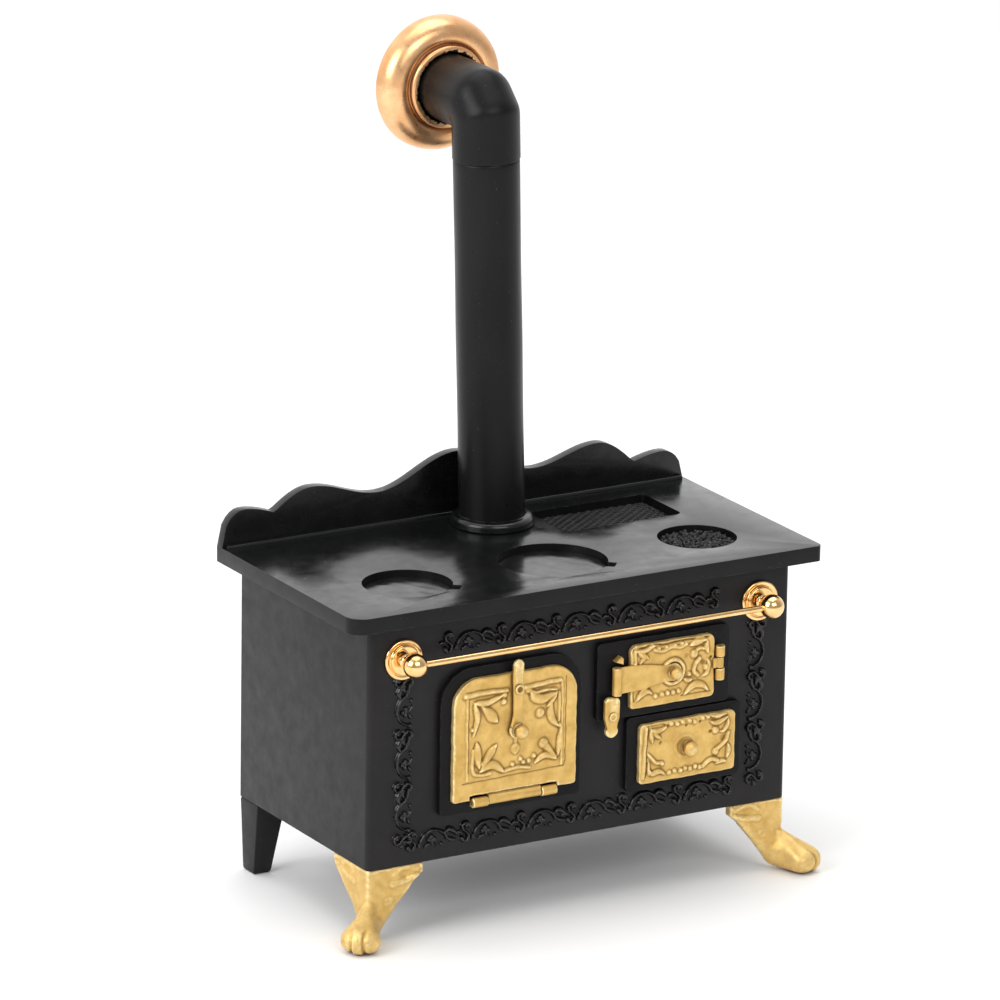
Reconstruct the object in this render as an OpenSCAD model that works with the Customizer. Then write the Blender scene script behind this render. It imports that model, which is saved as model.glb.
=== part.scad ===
// Dolls' house kitchen range, one twelfth scale: a cast body on four feet, a hob
// with a scalloped back board, gilt doors that open, a towel rail, and a flue
// that turns back into a wall rosette.
// Frame: +X to the range's right, +Y to the wall, +Z up. The origin is on the
// floor under the middle of the whole object. All sizes are in millimetres.

/* [Hob and body] */
// Height of the hob's top above the floor
hob_height = 64; // [60:0.5:68]
// Width of the hob plate
hob_width = 100; // [98:0.5:102]
// Depth of the hob plate, front to back
hob_depth = 52; // [51:0.5:54]
// Thickness of the hob plate
hob_thickness = 3; // [2.6:0.1:3.4]
// Radius of the hob plate's left front corner
hob_left_radius = 3.5; // [1:0.5:5]
// Radius of the hob plate's right front corner
hob_right_radius = 1.2; // [1:0.1:5]
// Width of the body under the hob
body_width = 90; // [89:0.5:92]
// How far the hob stands in front of the body
front_overhang = 3.2; // [2.8:0.1:3.6]
// Height of the feet, floor to the underside of the body
foot_height = 14.4; // [13:0.2:15]
// Thickness of the back board
board_thickness = 2; // [1.4:0.1:2.4]
// Height of the back board's middle peak above the hob
board_peak = 12; // [10:0.5:14]

/* [Hob wells] */
// Distance of the round wells' centres from the hob's front edge
well_setback = 15.5; // [14:0.1:16]
// Sideways distance of the left well from the middle one
well_spacing = 30.9; // [29:0.1:32]
// Sideways distance of the fire hole from the middle well
fire_hole_spacing = 31.3; // [29:0.1:33]
// Radius of the left well
left_well_radius = 8.4; // [8:0.1:9]
// Radius of the middle well
centre_well_radius = 10.3; // [9:0.1:10.5]
// Radius of the fire hole on the right
coal_well_radius = 7.5; // [7:0.1:9]
// Depth of a lid's top below the hob
lid_sink = 1.3; // [0.8:0.1:1.5]
// Thickness of the lids
lid_thickness = 1.0; // [0.8:0.1:1.1]

/* [Flue] */
// Sideways place of the flue's foot
flue_x = 2.6; // [-1:0.1:3]
// Lean of the flue to the left, in degrees
flue_lean = 1.95; // [0:0.05:2.5]
// Distance of the flue's axis from the hob's front edge
flue_setback = 41; // [39:0.5:42]
// Radius of the straight flue pipe
flue_radius = 6.2; // [5.5:0.1:6.3]
// Height of the joint between the pipe and the elbow
flue_joint_height = 134.8; // [120:0.2:136]
// Height of the level stub that goes back to the wall
stub_height = 145.3; // [142:0.1:150]
// Distance of the wall from the hob's front edge
wall_setback = 59.7; // [58:0.5:64]
// Radius of the wall rosette
rosette_radius = 12.8; // [12:0.2:14]

/* [Rail] */
// Height of the towel rail
rail_height = 54.2; // [53:0.1:55]
// Sideways distance from the middle to each rail post
rail_post_x = 38.1; // [37:0.1:39]
// Radius of the rail's rod
rail_radius = 0.62; // [0.5:0.02:0.8]
// Radius of the balls on the posts
rail_ball_radius = 2.3; // [1.8:0.1:2.5]

/* [Doors] */
// Thickness of the doors
door_thickness = 1.0; // [0.8:0.1:1.2]
// How far the door surrounds stand off the body
surround_depth = 1.2; // [0.8:0.1:1.6]
// Radius of the hinge pins
pin_radius = 0.4; // [0.3:0.05:0.45]
// Travel of the ash drawer
ash_travel = 22; // [10:1:24]

/* [Hidden] */
$fn = 48;
hull_fn = 32;
cut = 1;
fit_gap = 0.05;
side_gap = 0.15;

// Levels from front to back
hob_front = -28;
hob_back = hob_front + hob_depth;
body_front = hob_front + front_overhang;
body_back = hob_back - 0.5;
wall_y = hob_front + wall_setback;
surround_front = body_front - surround_depth;
door_back = surround_front - fit_gap;
door_front = door_back - door_thickness;
relief_height = 0.4;
latch_back = door_front - relief_height - 0.1;
latch_thickness = 0.65;
latch_front = latch_back - latch_thickness;
rail_y = hob_front - 1.4;

// Middle well's place across the hob
well_mid_x = 0.7;

// Levels from the floor up
hob_bottom = hob_height - hob_thickness;
well_floor = hob_height - lid_sink - lid_thickness;
coal_floor = hob_bottom + 0.8;
socket_depth = 2.2;

// Oven door and its drop-down hinge
oven_x0 = -28.4;
oven_x1 = -2.2;
oven_z0 = 25.4;
oven_z1 = 48.8;
oven_mid_x = (oven_x0 + oven_x1) / 2;
oven_hinge_x0 = -24.4;
oven_hinge_x1 = -6.6;
oven_hinge_z = 25.0;
oven_notch_top = oven_hinge_z + 1.2;
knuckle_radius = 0.95;
slim_knuckle_radius = 0.75;
end_knuckle = 3.2;
hinge_y = surround_front - fit_gap - knuckle_radius;
oven_rivet_z = 45.9;
oven_knob_z = 38.0;
oven_bar_top = 51.5;

// Firebox door and its side hinge
fire_x0 = 9.2;
fire_x1 = 27.4;
fire_z0 = 37.7;
fire_z1 = 50.0;
fire_hinge_x = 28.5;
fire_hinge_z0 = 40.8;
fire_hinge_z1 = 47.4;
middle_knuckle_z0 = 43.2;
middle_knuckle_z1 = 45.2;
fire_knob_x = (fire_x0 + fire_x1) / 2;
fire_knob_z = (fire_z0 + fire_z1) / 2;
strap_tube_x = 6.0;
strap_tube_radius = 0.9;
strap_z0 = 41.2;
strap_z1 = 46.5;
catch_x = 5.0;
catch_z = 37.3;
catch_back = door_front - 0.1;
catch_thickness = 0.7;
catch_front = catch_back - catch_thickness;

// Ash drawer
ash_x0 = 11.5;
ash_x1 = 32.3;
ash_z0 = 22.7;
ash_z1 = 34.3;
ash_depth = 30;

// Raised frames behind the doors, as low and high corners
oven_frame = [[-30.6, 22.9], [-0.8, 50.8]];
fire_frame = [[2.6, 36.1], [31.2, 51.1]];
ash_frame = [[9.2, 21.2], [34.0, 35.7]];
frame_corner = 1;
oven_door_arch = 5.2;
oven_frame_arch = oven_door_arch + 1.4;

// Spaces inside the body
oven_space = [[-26.4, -4.5], [27.4, 46.6]];
fire_space = [[11.4, 25.6], [39.6, 47.8]];
ash_space = [[13.2, 30.6], [24.0, 32.8]];
space_back = body_front + 34;
pit_x1 = 24.2;
pit_inset = 3;
grate_bearing = 1;

bore_radius = pin_radius + fit_gap;
frieze_height = 4.2;
frieze_base = 0.3;
frieze_relief = 0.9;

// ---- Outlines and common shapes ----

// Points on an arc, for building outlines
function arc(cx, cy, r, from, to, steps = 10) =
    [for (i = [0:steps]) let (a = from + (to - from) * i / steps) [cx + r * cos(a), cy + r * sin(a)]];

// Rectangle outline with one radius at the bottom corners and one at the top
function round_rect(x0, y0, x1, y1, r0, r1) = concat(
    arc(x0 + r0, y0 + r0, r0, 180, 270),
    arc(x1 - r0, y0 + r0, r0, 270, 360),
    arc(x1 - r1, y1 - r1, r1, 0, 90),
    arc(x0 + r1, y1 - r1, r1, 90, 180)
);

// Pointed oval, for leaves
function leaf(length, width, steps = 16) =
    [for (i = [0:steps - 1]) let (a = 360 * i / steps) [length * (1 - cos(a)) / 2, width * sin(a) / 2]];

// An outline in X and Z, standing forward of y_back by thickness
module upright(y_back, thickness) {
    translate([0, y_back, 0])
        rotate([90, 0, 0])
            linear_extrude(thickness)
                children();
}

// A rod along -Y from y_back
module rod_forward(x, z, y_back, length, radius) {
    translate([x, y_back, z])
        rotate([90, 0, 0])
            cylinder(h = length, r = radius);
}

// A rod along +X from x0 to x1
module rod_across(x0, x1, y, z, radius) {
    translate([x0, y, z])
        rotate([0, 90, 0])
            cylinder(h = x1 - x0, r = radius);
}

// A box given by its low and high corners
module box(low, high) {
    translate(low)
        cube(high - low);
}

// ---- Cast body ----

module body() {
    half = body_width / 2;
    edge = 1.2;
    outline = concat(
        arc(-half + edge, body_front + edge, edge, 180, 270),
        arc(half - edge, body_front + edge, edge, 270, 360),
        [[half, body_back], [-half, body_back]]
    );
    color([0.05, 0.05, 0.06])
        difference() {
            translate([0, 0, foot_height])
                linear_extrude(hob_bottom - foot_height)
                    polygon(outline);
            for (space = [oven_space, fire_space, ash_space])
                box([space[0][0], body_front - cut, space[1][0]],
                    [space[0][1], space_back, space[1][1]]);
            box([ash_space[0][0], body_front + pit_inset, ash_space[1][1] - cut],
                [pit_x1, space_back - pit_inset, fire_space[1][0] + cut]);
        }
}

// Bars that carry the fire over the pit to the ash drawer
module fire_grate() {
    slots = 5;
    slot_width = 1.2;
    pit_width = pit_x1 - ash_space[0][0];
    pitch = pit_width / slots;
    color([0.10, 0.10, 0.10])
        difference() {
            box([ash_space[0][0] - grate_bearing, body_front + pit_inset - grate_bearing, fire_space[1][0]],
                [pit_x1 + grate_bearing, space_back - pit_inset + grate_bearing, fire_space[1][0] + 1]);
            for (i = [0:slots - 1])
                translate([ash_space[0][0] + (i + 0.5) * pitch - slot_width / 2, 0, fire_space[1][0] - cut])
                    box([0, body_front + pit_inset, 0], [slot_width, space_back - pit_inset, 1 + 2 * cut]);
        }
}

// ---- Hob ----

// Round well for a lid, with a notch beside it where a lifter goes in
module lid_well(x, radius) {
    notch_length = 1.6;
    notch_width = 2.6;
    notch_turn = -42;
    translate([x, hob_front + well_setback, well_floor]) {
        cylinder(h = hob_height, r = radius);
        rotate([0, 0, notch_turn])
            translate([radius - 0.4, -notch_width / 2, lid_thickness])
                cube([notch_length + 0.4, notch_width, hob_height]);
    }
}

griddle_x0 = 11.8;
griddle_x1 = 37.4;
griddle_y0 = hob_front + 29.3;
griddle_y1 = hob_front + 43.5;
griddle_sink = 1.2;
griddle_thickness = 0.8;
griddle_floor = hob_height - griddle_sink - griddle_thickness;

module hob_plate() {
    half = hob_width / 2;
    left_r = hob_left_radius;
    right_r = hob_right_radius;
    outline = concat(
        arc(-half + left_r, hob_front + left_r, left_r, 180, 270),
        arc(half - right_r, hob_front + right_r, right_r, 270, 360),
        [[half, hob_back], [-half, hob_back]]
    );
    color([0.03, 0.03, 0.04])
        difference() {
            translate([0, 0, hob_bottom])
                linear_extrude(hob_thickness)
                    polygon(outline);
            lid_well(well_mid_x - well_spacing, left_well_radius);
            lid_well(well_mid_x, centre_well_radius);
            translate([well_mid_x + fire_hole_spacing, hob_front + well_setback, coal_floor])
                cylinder(h = hob_thickness, r = coal_well_radius);
            translate([0, 0, griddle_floor])
                linear_extrude(hob_thickness)
                    polygon(round_rect(griddle_x0, griddle_y0, griddle_x1, griddle_y1, 1.5, 0.8));
            leaning()
                translate([0, 0, -socket_depth])
                    cylinder(h = hob_thickness, r = spigot_radius + fit_gap);
        }
}

// The back board's top edge, as height above the hob at a distance x from the middle.
// Each end has its own cusp and shoulder.
function board_edge(x, cusp, shoulder) =
    let (valley_x = 17, hump_x = 31, cusp_x = 39, shoulder_x = 45.5, end_x = hob_width / 2)
    let (valley = 6.3, hump = 9.3)
    x < valley_x ? valley + (board_peak - valley) * (1 + cos(180 * x / valley_x)) / 2
    : x < hump_x ? valley + (hump - valley) * (1 - cos(180 * (x - valley_x) / (hump_x - valley_x))) / 2
    : x < cusp_x ? cusp + (hump - cusp) * cos(90 * (x - hump_x) / (cusp_x - hump_x))
    : x < shoulder_x ? cusp + (shoulder - cusp) * sin(90 * (x - cusp_x) / (shoulder_x - cusp_x))
    : shoulder * sqrt(max(0, 1 - pow((x - shoulder_x) / (end_x - shoulder_x), 2)));

module back_board() {
    half = hob_width / 2;
    steps = 60;
    left_end = [5.5, 6.9];
    right_end = [4.5, 5.7];
    top = [
        for (i = [1:2 * steps - 1])
            let (x = half * (1 - i / steps))
            let (end = x < 0 ? left_end : right_end)
                [x, hob_height + board_edge(abs(x), end[0], end[1])]
    ];
    color([0.03, 0.03, 0.04])
        upright(hob_back, board_thickness)
            polygon(concat([[-half, hob_height], [half, hob_height]], top));
}

module hob_lid(x, radius) {
    color([0.03, 0.03, 0.04])
        translate([x, hob_front + well_setback, well_floor])
            cylinder(h = lid_thickness, r = radius - side_gap);
}

module lid_left() {
    hob_lid(well_mid_x - well_spacing, left_well_radius);
}

module lid_centre() {
    hob_lid(well_mid_x, centre_well_radius);
}

module coal_bed() {
    lump = 1.35;
    pitch = 2.4;
    bed = 0.9;
    color([0.06, 0.06, 0.06])
        translate([well_mid_x + fire_hole_spacing, hob_front + well_setback, coal_floor]) {
            cylinder(h = bed, r = coal_well_radius - fit_gap);
            intersection() {
                cylinder(h = hob_thickness, r = coal_well_radius - fit_gap);
                for (ring = [0:2])
                    for (i = [0:max(1, 6 * ring) - 1])
                        rotate([0, 0, 60 * i / max(1, ring) + 17 * ring])
                            translate([pitch * ring, 0, bed - 0.5])
                                sphere(r = lump);
            }
        }
}

module griddle_grate() {
    base = 0.4;
    bar = 0.55;
    pitch = 1.6;
    reach = 9;
    mid_x = (griddle_x0 + griddle_x1) / 2;
    mid_y = (griddle_y0 + griddle_y1) / 2;
    outline = round_rect(griddle_x0 + fit_gap, griddle_y0 + fit_gap,
                         griddle_x1 - fit_gap, griddle_y1 - fit_gap, 1.5, 0.8);
    color([0.05, 0.05, 0.06])
        translate([0, 0, griddle_floor]) {
            linear_extrude(base)
                polygon(outline);
            linear_extrude(griddle_thickness)
                intersection() {
                    polygon(outline);
                    for (turn = [-45, 45])
                        translate([mid_x, mid_y])
                            rotate(turn)
                                for (i = [-reach:reach])
                                    translate([-20, i * pitch - bar / 2])
                                        square([40, bar]);
                }
        }
}

// ---- Flue ----

spigot_radius = 3.95;
elbow_radius = flue_radius + 0.2;
bend_radius = 6.8;
spigot_length = 3.6;

pipe_rise = flue_joint_height - hob_height;
stub_rise = stub_height - hob_height;
stub_end = wall_y - hob_front - flue_setback;

// Places what stands on the flue's foot, and leans it to the left
module leaning() {
    translate([flue_x, hob_front + flue_setback, hob_height])
        rotate([0, -flue_lean, 0])
            children();
}

module flue_collar() {
    bead = 1.0;
    color([0.04, 0.04, 0.05])
        difference() {
            translate([flue_x, hob_front + flue_setback, hob_height])
                rotate_extrude() {
                    difference() {
                        translate([flue_radius + 0.7, bead])
                            circle(r = bead);
                        square([flue_radius - 0.3, 2 * bead]);
                    }
                    translate([flue_radius - 0.3, 0])
                        square([1.6, bead]);
                }
            leaning()
                translate([0, 0, -cut])
                    cylinder(h = 2 * bead + 2 * cut, r = flue_radius + fit_gap);
        }
}

module flue_pipe() {
    socket_clearance = 0.35;
    below_hob = 2 * cut;
    color([0.04, 0.04, 0.05]) {
        difference() {
            leaning() {
                translate([0, 0, -cut])
                    cylinder(h = pipe_rise + cut, r = flue_radius);
                translate([0, 0, pipe_rise - cut])
                    cylinder(h = spigot_length + cut, r = spigot_radius);
            }
            translate([flue_x, hob_front + flue_setback, hob_height - below_hob])
                cylinder(h = below_hob, r = 2 * flue_radius);
        }
        leaning()
            translate([0, 0, socket_clearance - socket_depth])
                cylinder(h = hob_thickness, r = spigot_radius);
    }
}

module flue_elbow() {
    color([0.04, 0.04, 0.05])
        leaning()
            difference() {
                union() {
                    translate([0, 0, pipe_rise])
                        cylinder(h = stub_rise - bend_radius - pipe_rise, r = elbow_radius);
                    translate([0, bend_radius, stub_rise - bend_radius])
                        rotate([90, 0, -90])
                            rotate_extrude(angle = 90)
                                translate([bend_radius, 0])
                                    circle(r = elbow_radius);
                    translate([0, bend_radius, stub_rise])
                        rotate([-90, 0, 0])
                            cylinder(h = stub_end - bend_radius, r = elbow_radius);
                }
                translate([0, 0, pipe_rise - cut])
                    cylinder(h = spigot_length + 0.2 + cut, r = spigot_radius + fit_gap);
            }
}

// Domed plate against the wall, with a grooved inner ring round the stub
module wall_rosette() {
    lip = 0.6;
    dome = 4.4;
    shoulder = 9.7;
    ring = 7.9;
    hole = elbow_radius + fit_gap;
    dome_width = rosette_radius - shoulder;
    dome_points = [for (a = [0:9:90]) [shoulder + dome_width * cos(a), lip + dome * sin(a)]];
    ring_points = [for (a = [0:18:180]) [ring + 1.3 * cos(a), lip + dome + 0.2 + 1.0 * sin(a)]];
    color([0.83, 0.62, 0.47])
        leaning()
            translate([0, stub_end, stub_rise])
                rotate([90, 0, 0])
                    rotate_extrude()
                        polygon(concat(
                            [[hole, 0], [rosette_radius, 0]],
                            dome_points,
                            [[shoulder - 0.2, lip + dome - 0.4], [ring + 1.3, lip + dome - 0.4]],
                            ring_points,
                            [[hole, lip + dome]]
                        ));
}

// ---- Rail ----

module rail_rod() {
    color([0.90, 0.72, 0.48])
        rod_across(-rail_post_x - 1.2, rail_post_x + 1.2, rail_y, rail_height, rail_radius);
}

module rail_rose(side) {
    color([0.90, 0.72, 0.48]) {
        rod_forward(side * rail_post_x, rail_height, body_front, 0.8, 3.9);
        rod_forward(side * rail_post_x, rail_height, body_front, 1.4, 3.0);
    }
}

module rail_post(side) {
    rose_front = body_front - 1.4;
    socket_start = rail_post_x - 1.3;
    color([0.90, 0.72, 0.48])
        difference() {
            union() {
                translate([side * rail_post_x, rail_y, rail_height])
                    sphere(r = rail_ball_radius);
                rod_forward(side * rail_post_x, rail_height, rose_front, rose_front - rail_y, 1.3);
            }
            mirror([side < 0 ? 1 : 0, 0, 0])
                rod_across(socket_start - rail_ball_radius, rail_post_x + 1.25,
                           rail_y, rail_height, rail_radius + fit_gap);
        }
}

module rail_rose_left() {
    rail_rose(-1);
}

module rail_rose_right() {
    rail_rose(1);
}

module rail_post_left() {
    rail_post(-1);
}

module rail_post_right() {
    rail_post(1);
}

// ---- Feet ----

// Paw foot under the left front corner, splayed outwards: a bracket, an ankle and three toes.
// The body's corner is at the origin.
module paw_foot() {
    bracket_reach = 13.6;
    bracket_depth = 2.4;
    bracket_height = 0.6;
    inner_reach = bracket_reach - 3;
    ankle = [-0.9, -0.9, 6.6];
    ankle_radius = 2.8;
    instep_radius = 2.2;
    paw = [-2.7, -2.7, 0];
    pad_radius = 2.6;
    pad_height = 1.6;
    toe_radius = 1.3;
    toe_height = 1.1;
    toes = [[-2, 0.35], [-1.6, -1.6], [0.35, -2]];
    room = 4 * bracket_reach;
    intersection() {
        translate([-body_width / 2, body_front, 0]) {
            hull() {
                translate([0, 0, foot_height - bracket_height])
                    linear_extrude(bracket_height)
                        polygon([[0, 0], [bracket_reach, 0], [inner_reach, bracket_depth],
                                 [bracket_depth, inner_reach], [0, bracket_reach]]);
                translate(ankle)
                    sphere(r = ankle_radius, $fn = hull_fn);
            }
            hull() {
                translate(ankle)
                    sphere(r = ankle_radius, $fn = hull_fn);
                translate(paw + [0.2, 0.2, instep_radius])
                    sphere(r = instep_radius, $fn = hull_fn);
            }
            translate(paw)
                cylinder(h = pad_height, r = pad_radius);
            for (toe = toes)
                translate(paw + [toe[0], toe[1], toe_height])
                    sphere(r = toe_radius);
        }
        translate([-body_width / 2 - room / 2, body_front - room / 2, 0])
            cube([room, room, foot_height]);
    }
}

module front_foot_left() {
    color([0.85, 0.70, 0.40])
        paw_foot();
}

module front_foot_right() {
    color([0.85, 0.70, 0.40])
        mirror([1, 0, 0])
            paw_foot();
}

// Plain tapered block, flush with the side and the back
module block_foot() {
    side_x = -body_width / 2;
    top_width = 6.2;
    top_depth = 6.7;
    sole_width = 3.7;
    sole_depth = 4.2;
    side_batter = 0.3;
    back_batter = 0.6;
    sole_x = side_x + side_batter;
    sole_y = body_back - back_batter;
    color([0.05, 0.05, 0.06])
        intersection() {
            upright(body_back, top_depth + cut)
                polygon([[sole_x, 0], [sole_x + sole_width, 0],
                         [side_x + top_width, foot_height], [side_x, foot_height]]);
            translate([side_x - cut, 0, 0])
                rotate([90, 0, 90])
                    linear_extrude(top_width + 2 * cut)
                        polygon([[sole_y - sole_depth, 0], [sole_y, 0],
                                 [body_back, foot_height], [body_back - top_depth, foot_height]]);
        }
}

module rear_foot_left() {
    block_foot();
}

module rear_foot_right() {
    mirror([1, 0, 0])
        block_foot();
}

// ---- Relief friezes ----

// One scroll with its bead and leaf, running along +X from the origin
module vine_repeat(pitch) {
    scroll_radius = 1.35;
    scroll_line = 0.5;
    bead_radius = 0.5;
    leaf_width = 1.1;
    leaf_rise = 38;
    translate([pitch * 0.28, 0]) {
        difference() {
            circle(r = scroll_radius);
            circle(r = scroll_radius - scroll_line);
        }
        circle(r = bead_radius);
    }
    translate([pitch * 0.52, -leaf_width])
        rotate(leaf_rise)
            polygon(leaf(pitch * 0.42, leaf_width));
}

// A strip of scrolls centred on the origin, face up
module frieze(length, repeats) {
    pitch = length / repeats;
    color([0.04, 0.04, 0.05]) {
        linear_extrude(frieze_base)
            translate([-length / 2, -frieze_height / 2])
                square([length, frieze_height]);
        linear_extrude(frieze_relief)
            for (i = [0:repeats - 1])
                translate([-length / 2 + i * pitch, 0])
                    mirror([0, i % 2, 0])
                        vine_repeat(pitch);
    }
}

top_frieze_z = 56.0;
top_frieze_length = 67;
bottom_frieze_z = 18.9;
bottom_frieze_length = 78.8;
side_frieze_x = 37.8;
side_frieze_z0 = 21.3;
side_frieze_z1 = 49.9;

module frieze_top() {
    translate([0, body_front, top_frieze_z])
        rotate([90, 0, 0])
            frieze(top_frieze_length, 12);
}

module frieze_bottom() {
    translate([0, body_front, bottom_frieze_z])
        rotate([90, 0, 0])
            frieze(bottom_frieze_length, 14);
}

module side_frieze(side) {
    translate([side * side_frieze_x, body_front, (side_frieze_z0 + side_frieze_z1) / 2])
        rotate([90, 0, 0])
            rotate([0, 0, 90])
                frieze(side_frieze_z1 - side_frieze_z0, 6);
}

module frieze_left() {
    side_frieze(-1);
}

module frieze_right() {
    side_frieze(1);
}

// ---- Door parts used by every door ----

module surround(frame, top_radius, space) {
    color([0.05, 0.05, 0.06])
        upright(body_front, surround_depth)
            difference() {
                polygon(round_rect(frame[0][0], frame[0][1], frame[1][0], frame[1][1], frame_corner, top_radius));
                translate([space[0][0], space[1][0]])
                    square([space[0][1] - space[0][0], space[1][1] - space[1][0]]);
            }
}

// Raised border and a spray of three leaves in each corner
module panel_relief(x0, z0, x1, z1, reach) {
    rim = 0.35;
    difference() {
        polygon(round_rect(x0, z0, x1, z1, 0.5, 0.5));
        polygon(round_rect(x0 + rim, z0 + rim, x1 - rim, z1 - rim, 0.5, 0.5));
    }
    for (right = [0, 1])
        for (top = [0, 1])
            translate([right ? x1 - 0.7 : x0 + 0.7, top ? z1 - 0.7 : z0 + 0.7])
                mirror([right, 0])
                    mirror([0, top])
                        for (turn = [8, 45, 82])
                            rotate(turn)
                                polygon(leaf(reach, reach * 0.26));
}

module knob(x, z, y_back, radius, stem) {
    color([0.85, 0.70, 0.40]) {
        rod_forward(x, z, y_back, stem + 0.4, radius * 0.5);
        translate([x, y_back - stem - radius * 0.85, z])
            sphere(r = radius);
    }
}

// ---- Oven door, drops down ----

module oven_surround() {
    surround(oven_frame, oven_frame_arch, oven_space);
}

module oven_door() {
    plate_x0 = oven_hinge_x0 + end_knuckle + side_gap;
    plate_x1 = oven_hinge_x1 - end_knuckle - side_gap;
    notch_gap = 0.3;
    bed = 0.2;
    color([0.85, 0.70, 0.40])
        difference() {
            union() {
                upright(door_back, door_thickness)
                    difference() {
                        polygon(round_rect(oven_x0, oven_z0, oven_x1, oven_z1, 0.6, oven_door_arch));
                        translate([oven_hinge_x0 - notch_gap, oven_z0 - cut])
                            square([oven_hinge_x1 - oven_hinge_x0 + 2 * notch_gap, oven_notch_top - oven_z0 + cut]);
                    }
                upright(door_back - bed, door_thickness - bed + relief_height)
                    panel_relief(oven_x0 + 3.4, oven_z0 + 3.9, oven_x1 - 3.0, oven_z1 - 3.1, 6.0);
                box([plate_x0, hinge_y - 0.3, oven_hinge_z], [plate_x1, hinge_y + 0.4, oven_notch_top + 0.4]);
                rod_across(plate_x0, plate_x1, hinge_y, oven_hinge_z, slim_knuckle_radius);
            }
            rod_across(oven_hinge_x0 - cut, oven_hinge_x1 + cut, hinge_y, oven_hinge_z, bore_radius);
            rod_forward(oven_mid_x, oven_rivet_z, door_back + cut, door_thickness + 2 * cut, pin_radius);
        }
}

module oven_hinge_brackets() {
    color([0.85, 0.70, 0.40])
        for (x0 = [oven_hinge_x0, oven_hinge_x1 - end_knuckle])
            difference() {
                union() {
                    rod_across(x0, x0 + end_knuckle, hinge_y, oven_hinge_z, knuckle_radius);
                    box([x0, hinge_y, oven_hinge_z - 0.9], [x0 + end_knuckle, surround_front, oven_hinge_z + 0.3]);
                }
                rod_across(x0 - cut, x0 + end_knuckle + cut, hinge_y, oven_hinge_z, bore_radius);
            }
}

module oven_hinge_pin() {
    color([0.85, 0.70, 0.40])
        rod_across(oven_hinge_x0, oven_hinge_x1, hinge_y, oven_hinge_z, pin_radius);
}

module oven_latch_bar() {
    bar_half = 1.0;
    foot_radius = 1.7;
    color([0.85, 0.70, 0.40])
        difference() {
            upright(latch_back, latch_thickness) {
                polygon(concat(
                    arc(oven_mid_x, oven_bar_top - bar_half, bar_half, 0, 180),
                    arc(oven_mid_x, oven_knob_z, foot_radius, 145, 395)
                ));
                translate([oven_mid_x, oven_rivet_z])
                    circle(r = 1.25);
            }
            rod_forward(oven_mid_x, oven_rivet_z, latch_back + cut, latch_thickness + 2 * cut, bore_radius + 0.02);
        }
}

module oven_latch_rivet() {
    head = 0.95;
    color([0.85, 0.70, 0.40]) {
        rod_forward(oven_mid_x, oven_rivet_z, door_back, door_back - latch_front + 0.3, pin_radius);
        rod_forward(oven_mid_x, oven_rivet_z, latch_front - fit_gap, 0.3, head);
    }
}

module oven_knob() {
    knob(oven_mid_x, oven_knob_z, latch_front, 1.4, 0.2);
}

// ---- Firebox door, swings on its right edge ----

// Strap from the round boss under the knob to the tube; the door's relief leaves room for it
strap_outline = concat(
    [[strap_tube_x, strap_z1], [strap_tube_x, strap_z0], [fire_x0 + 2.2, strap_z0 + 0.2]],
    arc(fire_knob_x, fire_knob_z, 1.7, 250, 470),
    [[fire_x0 + 4.7, strap_z1 - 1], [fire_x0 + 2.2, strap_z1 - 0.2]]
);

module firebox_surround() {
    surround(fire_frame, frame_corner, fire_space);
}

module firebox_door() {
    bed = 0.2;
    color([0.85, 0.70, 0.40])
        difference() {
            union() {
                upright(door_back, door_thickness)
                    polygon(round_rect(fire_x0, fire_z0, fire_x1, fire_z1, 0.8, 1.5));
                difference() {
                    upright(door_back - bed, door_thickness - bed + relief_height)
                        panel_relief(fire_x0 + 1.2, fire_z0 + 1.2, fire_x1 - 1.2, fire_z1 - 1.2, 3.6);
                    upright(door_front, relief_height + cut)
                        polygon(strap_outline);
                }
                box([fire_x1 - 0.4, hinge_y - 0.35, middle_knuckle_z0], [fire_hinge_x, hinge_y + 0.35, middle_knuckle_z1]);
                translate([fire_hinge_x, hinge_y, middle_knuckle_z0])
                    cylinder(h = middle_knuckle_z1 - middle_knuckle_z0, r = slim_knuckle_radius);
            }
            translate([fire_hinge_x, hinge_y, fire_hinge_z0 - cut])
                cylinder(h = fire_hinge_z1 - fire_hinge_z0 + 2 * cut, r = bore_radius);
        }
}

module firebox_hinge_brackets() {
    lengths = [
        [fire_hinge_z0, middle_knuckle_z0 - side_gap],
        [middle_knuckle_z1 + side_gap, fire_hinge_z1]
    ];
    color([0.85, 0.70, 0.40])
        for (z = lengths)
            difference() {
                union() {
                    translate([fire_hinge_x, hinge_y, z[0]])
                        cylinder(h = z[1] - z[0], r = knuckle_radius);
                    box([fire_hinge_x - 0.4, hinge_y, z[0]], [fire_hinge_x + 1.2, surround_front, z[1]]);
                }
                translate([fire_hinge_x, hinge_y, z[0] - cut])
                    cylinder(h = z[1] - z[0] + 2 * cut, r = bore_radius);
            }
}

module firebox_hinge_pin() {
    color([0.85, 0.70, 0.40])
        translate([fire_hinge_x, hinge_y, fire_hinge_z0])
            cylinder(h = fire_hinge_z1 - fire_hinge_z0, r = pin_radius);
}

// Wide strap from the knob to an upright tube past the door's free edge
module firebox_strap() {
    color([0.85, 0.70, 0.40]) {
        upright(door_front, relief_height + 0.3)
            polygon(strap_outline);
        translate([strap_tube_x, door_front - relief_height, strap_z0])
            cylinder(h = strap_z1 - strap_z0, r = strap_tube_radius);
    }
}

module firebox_knob() {
    knob(fire_knob_x, fire_knob_z, door_front - relief_height - 0.3, 1.2, 0.2);
}

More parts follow.
